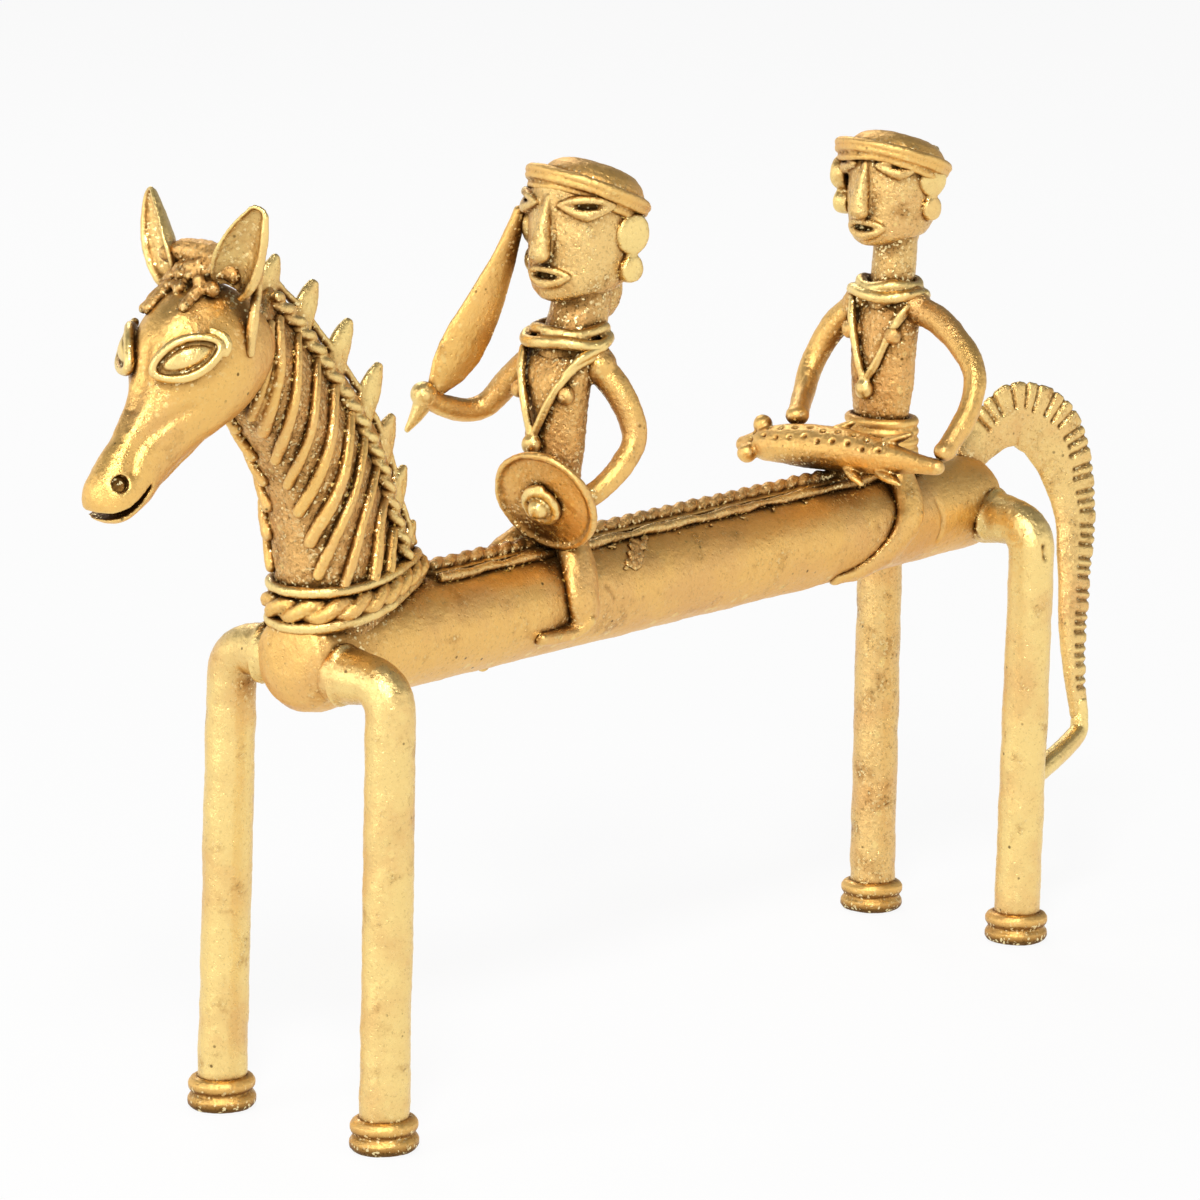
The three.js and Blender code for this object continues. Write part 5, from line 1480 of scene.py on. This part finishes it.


# The last argument sets the smears, grit and the painted shade in the hollows together
def cast_brass(slot, grime):
    """Cast brass: reddish patches, worn edges, brown dirt in the hollows, grit, glints and pits."""
    name = f"cast {slot} {grime}"
    made = bpy.data.materials.get(name)
    if made:
        return made
    base, shine = METALS[slot]
    colours = bpy.context.scene.figurine_colours
    gold, bright, blush, film_and_shade, patina_and_shade = (
        (*getattr(colours, key), 1) for key in (base, "bright", "blush", "film_and_shade", "patina_and_shade")
    )
    made = bpy.data.materials.new(name)
    tree = blank(made)
    out = add(tree, "ShaderNodeOutputMaterial")
    metal = add(tree, "ShaderNodeBsdfPrincipled", in_Metallic=1.0)
    tree.links.new(metal.outputs[0], out.inputs[0])
    where = add(tree, "ShaderNodeTexCoord").outputs["Object"]
    edge = add(tree, "ShaderNodeNewGeometry").outputs["Pointiness"]
    shade = add(tree, "ShaderNodeAmbientOcclusion", samples=10, in_Distance=0.008).outputs["AO"]

    # Reddish patches, and brighter edges where hands rub
    patches = ramp(tree, cloud(tree, where, 70), 0.42, 0.7)
    aged = colour_mix(tree, 1.2 * max(0, grime - 0.4), gold, blush)
    tone = colour_mix(tree, times(tree, patches, 0.4 + 0.5 * grime), aged, blush)
    worn = ramp(tree, edge, 0.505, 0.56)
    tone = colour_mix(tree, times(tree, worn, 0.6), tone, bright)

    # Thin brown film in smears, and the same brown as painted shade beside the hollows, between parts
    # and by the table, from ambient occlusion
    hollow = ramp(tree, shade, 0.99, 0.62 - 0.1 * (1 - grime))
    smear = ramp(tree, cloud(tree, where, 170, 6.0, 0.7), 0.62 - 0.17 * grime, 0.82 - 0.16 * grime)
    shade_and_smear = maths(tree, "MAXIMUM", hollow, times(tree, smear, 0.5 + 0.3 * grime))
    tone = colour_mix(tree, times(tree, shade_and_smear, 0.85), tone, film_and_shade)

    # Dark patina and painted shade in deep places, creases and between parts, from ambient occlusion
    # and pointiness, with grit
    deep = times(tree, ramp(tree, shade, 0.78, 0.3), min(1, 0.6 + 0.5 * grime))
    crease = ramp(tree, edge, 0.49, 0.43)
    grit = ramp(tree, cloud(tree, where, 1700, 3.0, 0.75), 0.6 - 0.1 * grime, 0.72 - 0.08 * grime)
    dark = maths(tree, "MAXIMUM", deep, times(tree, crease, 0.8))
    gritty = maths(tree, "MULTIPLY_ADD", shade_and_smear, 0.55, 0.08 + 0.3 * grime)
    dark = maths(tree, "MULTIPLY_ADD", grit, gritty, dark, clamp=True)
    tone = colour_mix(tree, times(tree, dark, 0.93), tone, patina_and_shade)

    # A few dark casting spots
    spotted = ramp(tree, grains(tree, where, 330, "Distance"), 0.13, 0.07)
    rare = ramp(tree, cloud(tree, where, 120), 0.5, 0.6)
    spotted = times(tree, spotted, rare)
    tone = colour_mix(tree, times(tree, spotted, 0.8), tone, patina_and_shade)

    # Painted glints: near-white specks in the dusty and shaded places
    split = add(tree, "ShaderNodeSeparateColor")
    tree.links.new(grains(tree, where, 2400, "Color"), split.inputs[0])
    glint = ramp(tree, split.outputs[0], 0.9 - 0.08 * grime, 0.96 - 0.08 * grime)
    shaded_and_dusty = maths(tree, "MULTIPLY_ADD", shade_and_smear, 0.8, 0.15 * grime, clamp=True)
    glint = times(tree, glint, shaded_and_dusty)
    tone = colour_mix(tree, glint, tone, GLINT)
    tree.links.new(tone, metal.inputs["Base Color"])

    # Duller where it is dirty, sharper at the glints
    rough = maths(tree, "MULTIPLY_ADD", cloud(tree, where, 1300, 3.0), 0.3, shine - 0.1)
    rough = maths(tree, "MULTIPLY_ADD", dark, 0.22, rough)
    rough = maths(tree, "MULTIPLY_ADD", glint, -0.25, rough, clamp=True)
    tree.links.new(rough, metal.inputs["Roughness"])

    # Fine pits and grain of the cast skin
    holes = ramp(tree, grains(tree, where, 800, "Distance"), 0.05, 0.2)
    height = maths(tree, "MULTIPLY_ADD", holes, 0.7, cloud(tree, where, 1500, 4.0, 0.7))
    bump = add(tree, "ShaderNodeBump", in_Strength=0.18 + 0.45 * grime, in_Distance=0.0004)
    tree.links.new(height, bump.inputs["Height"])
    tree.links.new(bump.outputs[0], metal.inputs["Normal"])
    return made


# Studio
WHITE = (1, 1, 1, 1)
TABLE_GLOW = 0.9
# Rise and low value of the room's light with height, then round its sides, and the way of those
HIGH_LEVEL = (0.96, 0.24)
SIDE_LEVEL = (0.7, 0.3)
DIM_WAY = (0.94, 0.34)
# Place, size and power of each lamp, and the point they face
LAMPS = [
    ("key light", (-0.75, -0.55, 1.0), 0.28, 9.0),
    ("side light", (-1.1, 0.35, 0.5), 0.5, 2.5),
    ("back light", (0.6, 0.9, 0.9), 0.5, 3.0),
]
AIM = (0.0, 0.0, 0.09)
CAMERA_AT = at(-903.34, -744.88, 333.82)
CAMERA_TURN = (-50.08, 12.279, 0.695)
CAMERA_LENS = 197.886


def seen_rays(tree):
    """1 for what the camera sees, directly, in metal or through glass."""
    rays = add(tree, "ShaderNodeLightPath").outputs
    either = maths(tree, "MAXIMUM", rays["Is Camera Ray"], rays["Is Glossy Ray"])
    return maths(tree, "MAXIMUM", either, rays["Is Transmission Ray"])


def mixed(tree, share, first, second, out):
    """Sends a mix of two shaders to the output node."""
    mix = add(tree, "ShaderNodeMixShader")
    for socket, source in zip(mix.inputs, (share, first.outputs[0], second.outputs[0])):
        tree.links.new(source, socket)
    tree.links.new(mix.outputs[0], out.inputs[0])


def make_table():
    deselect()
    bpy.ops.mesh.primitive_plane_add(size=6)
    table = bpy.context.object
    table.name = "table"
    pale = bpy.data.materials.new("pale table")
    tree = blank(pale)
    out = add(tree, "ShaderNodeOutputMaterial")
    matt = add(tree, "ShaderNodeBsdfDiffuse")
    matt.inputs["Color"].default_value = (*bpy.context.scene.figurine_colours.table, 1)
    glow = add(tree, "ShaderNodeEmission", in_Color=WHITE, in_Strength=1.0)
    mixed(tree, times(tree, seen_rays(tree), TABLE_GLOW), matt, glow, out)
    table.data.materials.append(pale)


def make_room():
    scene = bpy.context.scene
    world = scene.world or bpy.data.worlds.new("studio")
    scene.world = world
    tree = blank(world)
    out = add(tree, "ShaderNodeOutputWorld")
    split = add(tree, "ShaderNodeSeparateXYZ")
    tree.links.new(add(tree, "ShaderNodeTexCoord").outputs["Generated"], split.inputs[0])
    level = maths(tree, "MULTIPLY_ADD", ramp(tree, split.outputs["Z"], 0.75, 0.1), *HIGH_LEVEL)
    along = times(tree, split.outputs["X"], DIM_WAY[0])
    sideways = maths(tree, "MULTIPLY_ADD", split.outputs["Y"], DIM_WAY[1], along)
    lit = maths(tree, "MULTIPLY_ADD", ramp(tree, sideways, 0.95, 0.45), *SIDE_LEVEL)
    level = times(tree, level, lit)
    room = add(tree, "ShaderNodeBackground", in_Color=WHITE)
    tree.links.new(level, room.inputs["Strength"])
    white = add(tree, "ShaderNodeBackground", in_Color=WHITE, in_Strength=1.0)
    rays = add(tree, "ShaderNodeLightPath").outputs
    through = maths(tree, "MAXIMUM", rays["Is Camera Ray"], rays["Is Transmission Ray"])
    mixed(tree, through, room, white, out)


def make_lamps():
    for name, place, size, power in LAMPS:
        deselect()
        bpy.ops.object.light_add(type="AREA", location=place)
        lamp = bpy.context.object
        lamp.name = name
        lamp.data.shape = "DISK"
        lamp.data.size = size
        lamp.data.energy = power
        aim = Vector(AIM) - Vector(place)
        lamp.rotation_euler = aim.to_track_quat("-Z", "Y").to_euler()


def make_camera():
    scene = bpy.context.scene
    deselect()
    bpy.ops.object.camera_add()
    camera = bpy.context.object
    camera.name = "camera"
    camera.data.lens = CAMERA_LENS
    camera.data.sensor_width = 36
    camera.data.clip_start = 0.05
    azimuth, elevation, roll = (math.radians(a) for a in CAMERA_TURN)
    level = math.cos(elevation)
    back = at(math.sin(azimuth) * level, -math.cos(azimuth) * level, math.sin(elevation))
    right = at(math.cos(azimuth), math.sin(azimuth), 0)
    up = np.cross(back, right)
    across = right * math.cos(roll) + up * math.sin(roll)
    upward = up * math.cos(roll) - right * math.sin(roll)
    place = (CAMERA_AT + midway()) * MM
    rows = np.stack([across, upward, back, place], axis=1).tolist()
    camera.matrix_world = Matrix(rows + [[0, 0, 0, 1]])
    scene.camera = camera
    scene.view_settings.view_transform = "Standard"


# Operators
def piece_operator(key, label, text, *makers):
    """Operator class that models one group of pieces."""

    def execute(self, context):
        for maker in makers:
            maker()
        return {"FINISHED"}

    return type(
        f"FIGURINE_OT_{key}",
        (bpy.types.Operator,),
        {
            "bl_idname": f"figurine.{key}",
            "bl_label": label,
            "bl_options": {"REGISTER", "UNDO"},
            "__doc__": text,
            "execute": execute,
        },
    )


GROUPS = [
    ("stage", "Studio", "Table, lamps and camera", make_table, make_room, make_lamps, make_camera),
    ("barrel", "Barrel", "Tubular body of the horse", make_barrel),
    ("legs", "Legs", "Bent rods that leave the barrel sideways", make_legs),
    ("hooves", "Hooves", "Two turns of wire at the foot of each leg", make_hooves),
    ("neck", "Neck", "Flat arched neck", make_neck),
    ("crest", "Crest", "Thread with leaf spikes along the neck", make_crest),
    ("mane", "Mane", "Braids and ribs of thread", make_mane),
    ("collar", "Collar", "Twisted band between two threads", make_collar),
    ("head", "Head", "Head of the horse with nostrils and mouth", make_head),
    ("eyes", "Eyes", "Almond eyes in loops of thread", make_eyes),
    ("ears", "Ears", "Cupped leaves", make_ears),
    ("forelock", "Forelock", "Short thick strands on the forehead", make_forelock),
    ("saddle", "Saddle", "Strip with edge threads and beads", make_saddle),
    ("tail", "Tail", "Flat notched tail and its tip", make_tail),
    ("torsos", "Torsos", "Bodies of the riders", make_torsos),
    ("caps", "Caps", "Caps with rolled brims", make_caps),
    ("heads", "Heads", "Heads of the riders", make_heads),
    ("lobes", "Ear discs", "Ears with drops", make_lobes),
    ("necklaces", "Necklaces", "Neck threads and garlands", make_necklaces),
    ("limbs", "Limbs", "Arms and legs of the riders", make_limbs),
    ("shield", "Shield", "Dished shield with a coiled boss", make_shield),
    ("sword", "Blade", "Leaf blade with its pommel", make_sword),
    ("fish", "Fish", "Fish with punched dots", make_fish),
    ("belt", "Belt", "Threads round the waist", make_belt),
]
PIECES = [piece_operator(*group) for group in GROUPS]


class FIGURINE_PT_pieces(bpy.types.Panel):
    """Sidebar panel with every size, colour and piece"""

    bl_label = "Brass horse"
    bl_space_type = "VIEW_3D"
    bl_region_type = "UI"
    bl_category = "Figurine"

    def draw(self, context):
        layout = self.layout
        for group in (context.scene.figurine_sizes, context.scene.figurine_colours):
            box = layout.box()
            for key in group.__annotations__:
                box.prop(group, key)
        for piece in PIECES:
            layout.operator(piece.bl_idname)


CLASSES = [FigurineSizes, FigurineColours, *PIECES, FIGURINE_PT_pieces]


def register():
    for made in CLASSES:
        bpy.utils.register_class(made)
    bpy.types.Scene.figurine_sizes = bpy.props.PointerProperty(type=FigurineSizes)
    bpy.types.Scene.figurine_colours = bpy.props.PointerProperty(type=FigurineColours)


def unregister():
    del bpy.types.Scene.figurine_colours
    del bpy.types.Scene.figurine_sizes
    for made in reversed(CLASSES):
        bpy.utils.unregister_class(made)


def main():
    register()
    for piece in PIECES:
        getattr(bpy.ops.figurine, piece.bl_idname.split(".")[1])()
    bpy.context.view_layer.update()


if __name__ == "__main__":
    main()
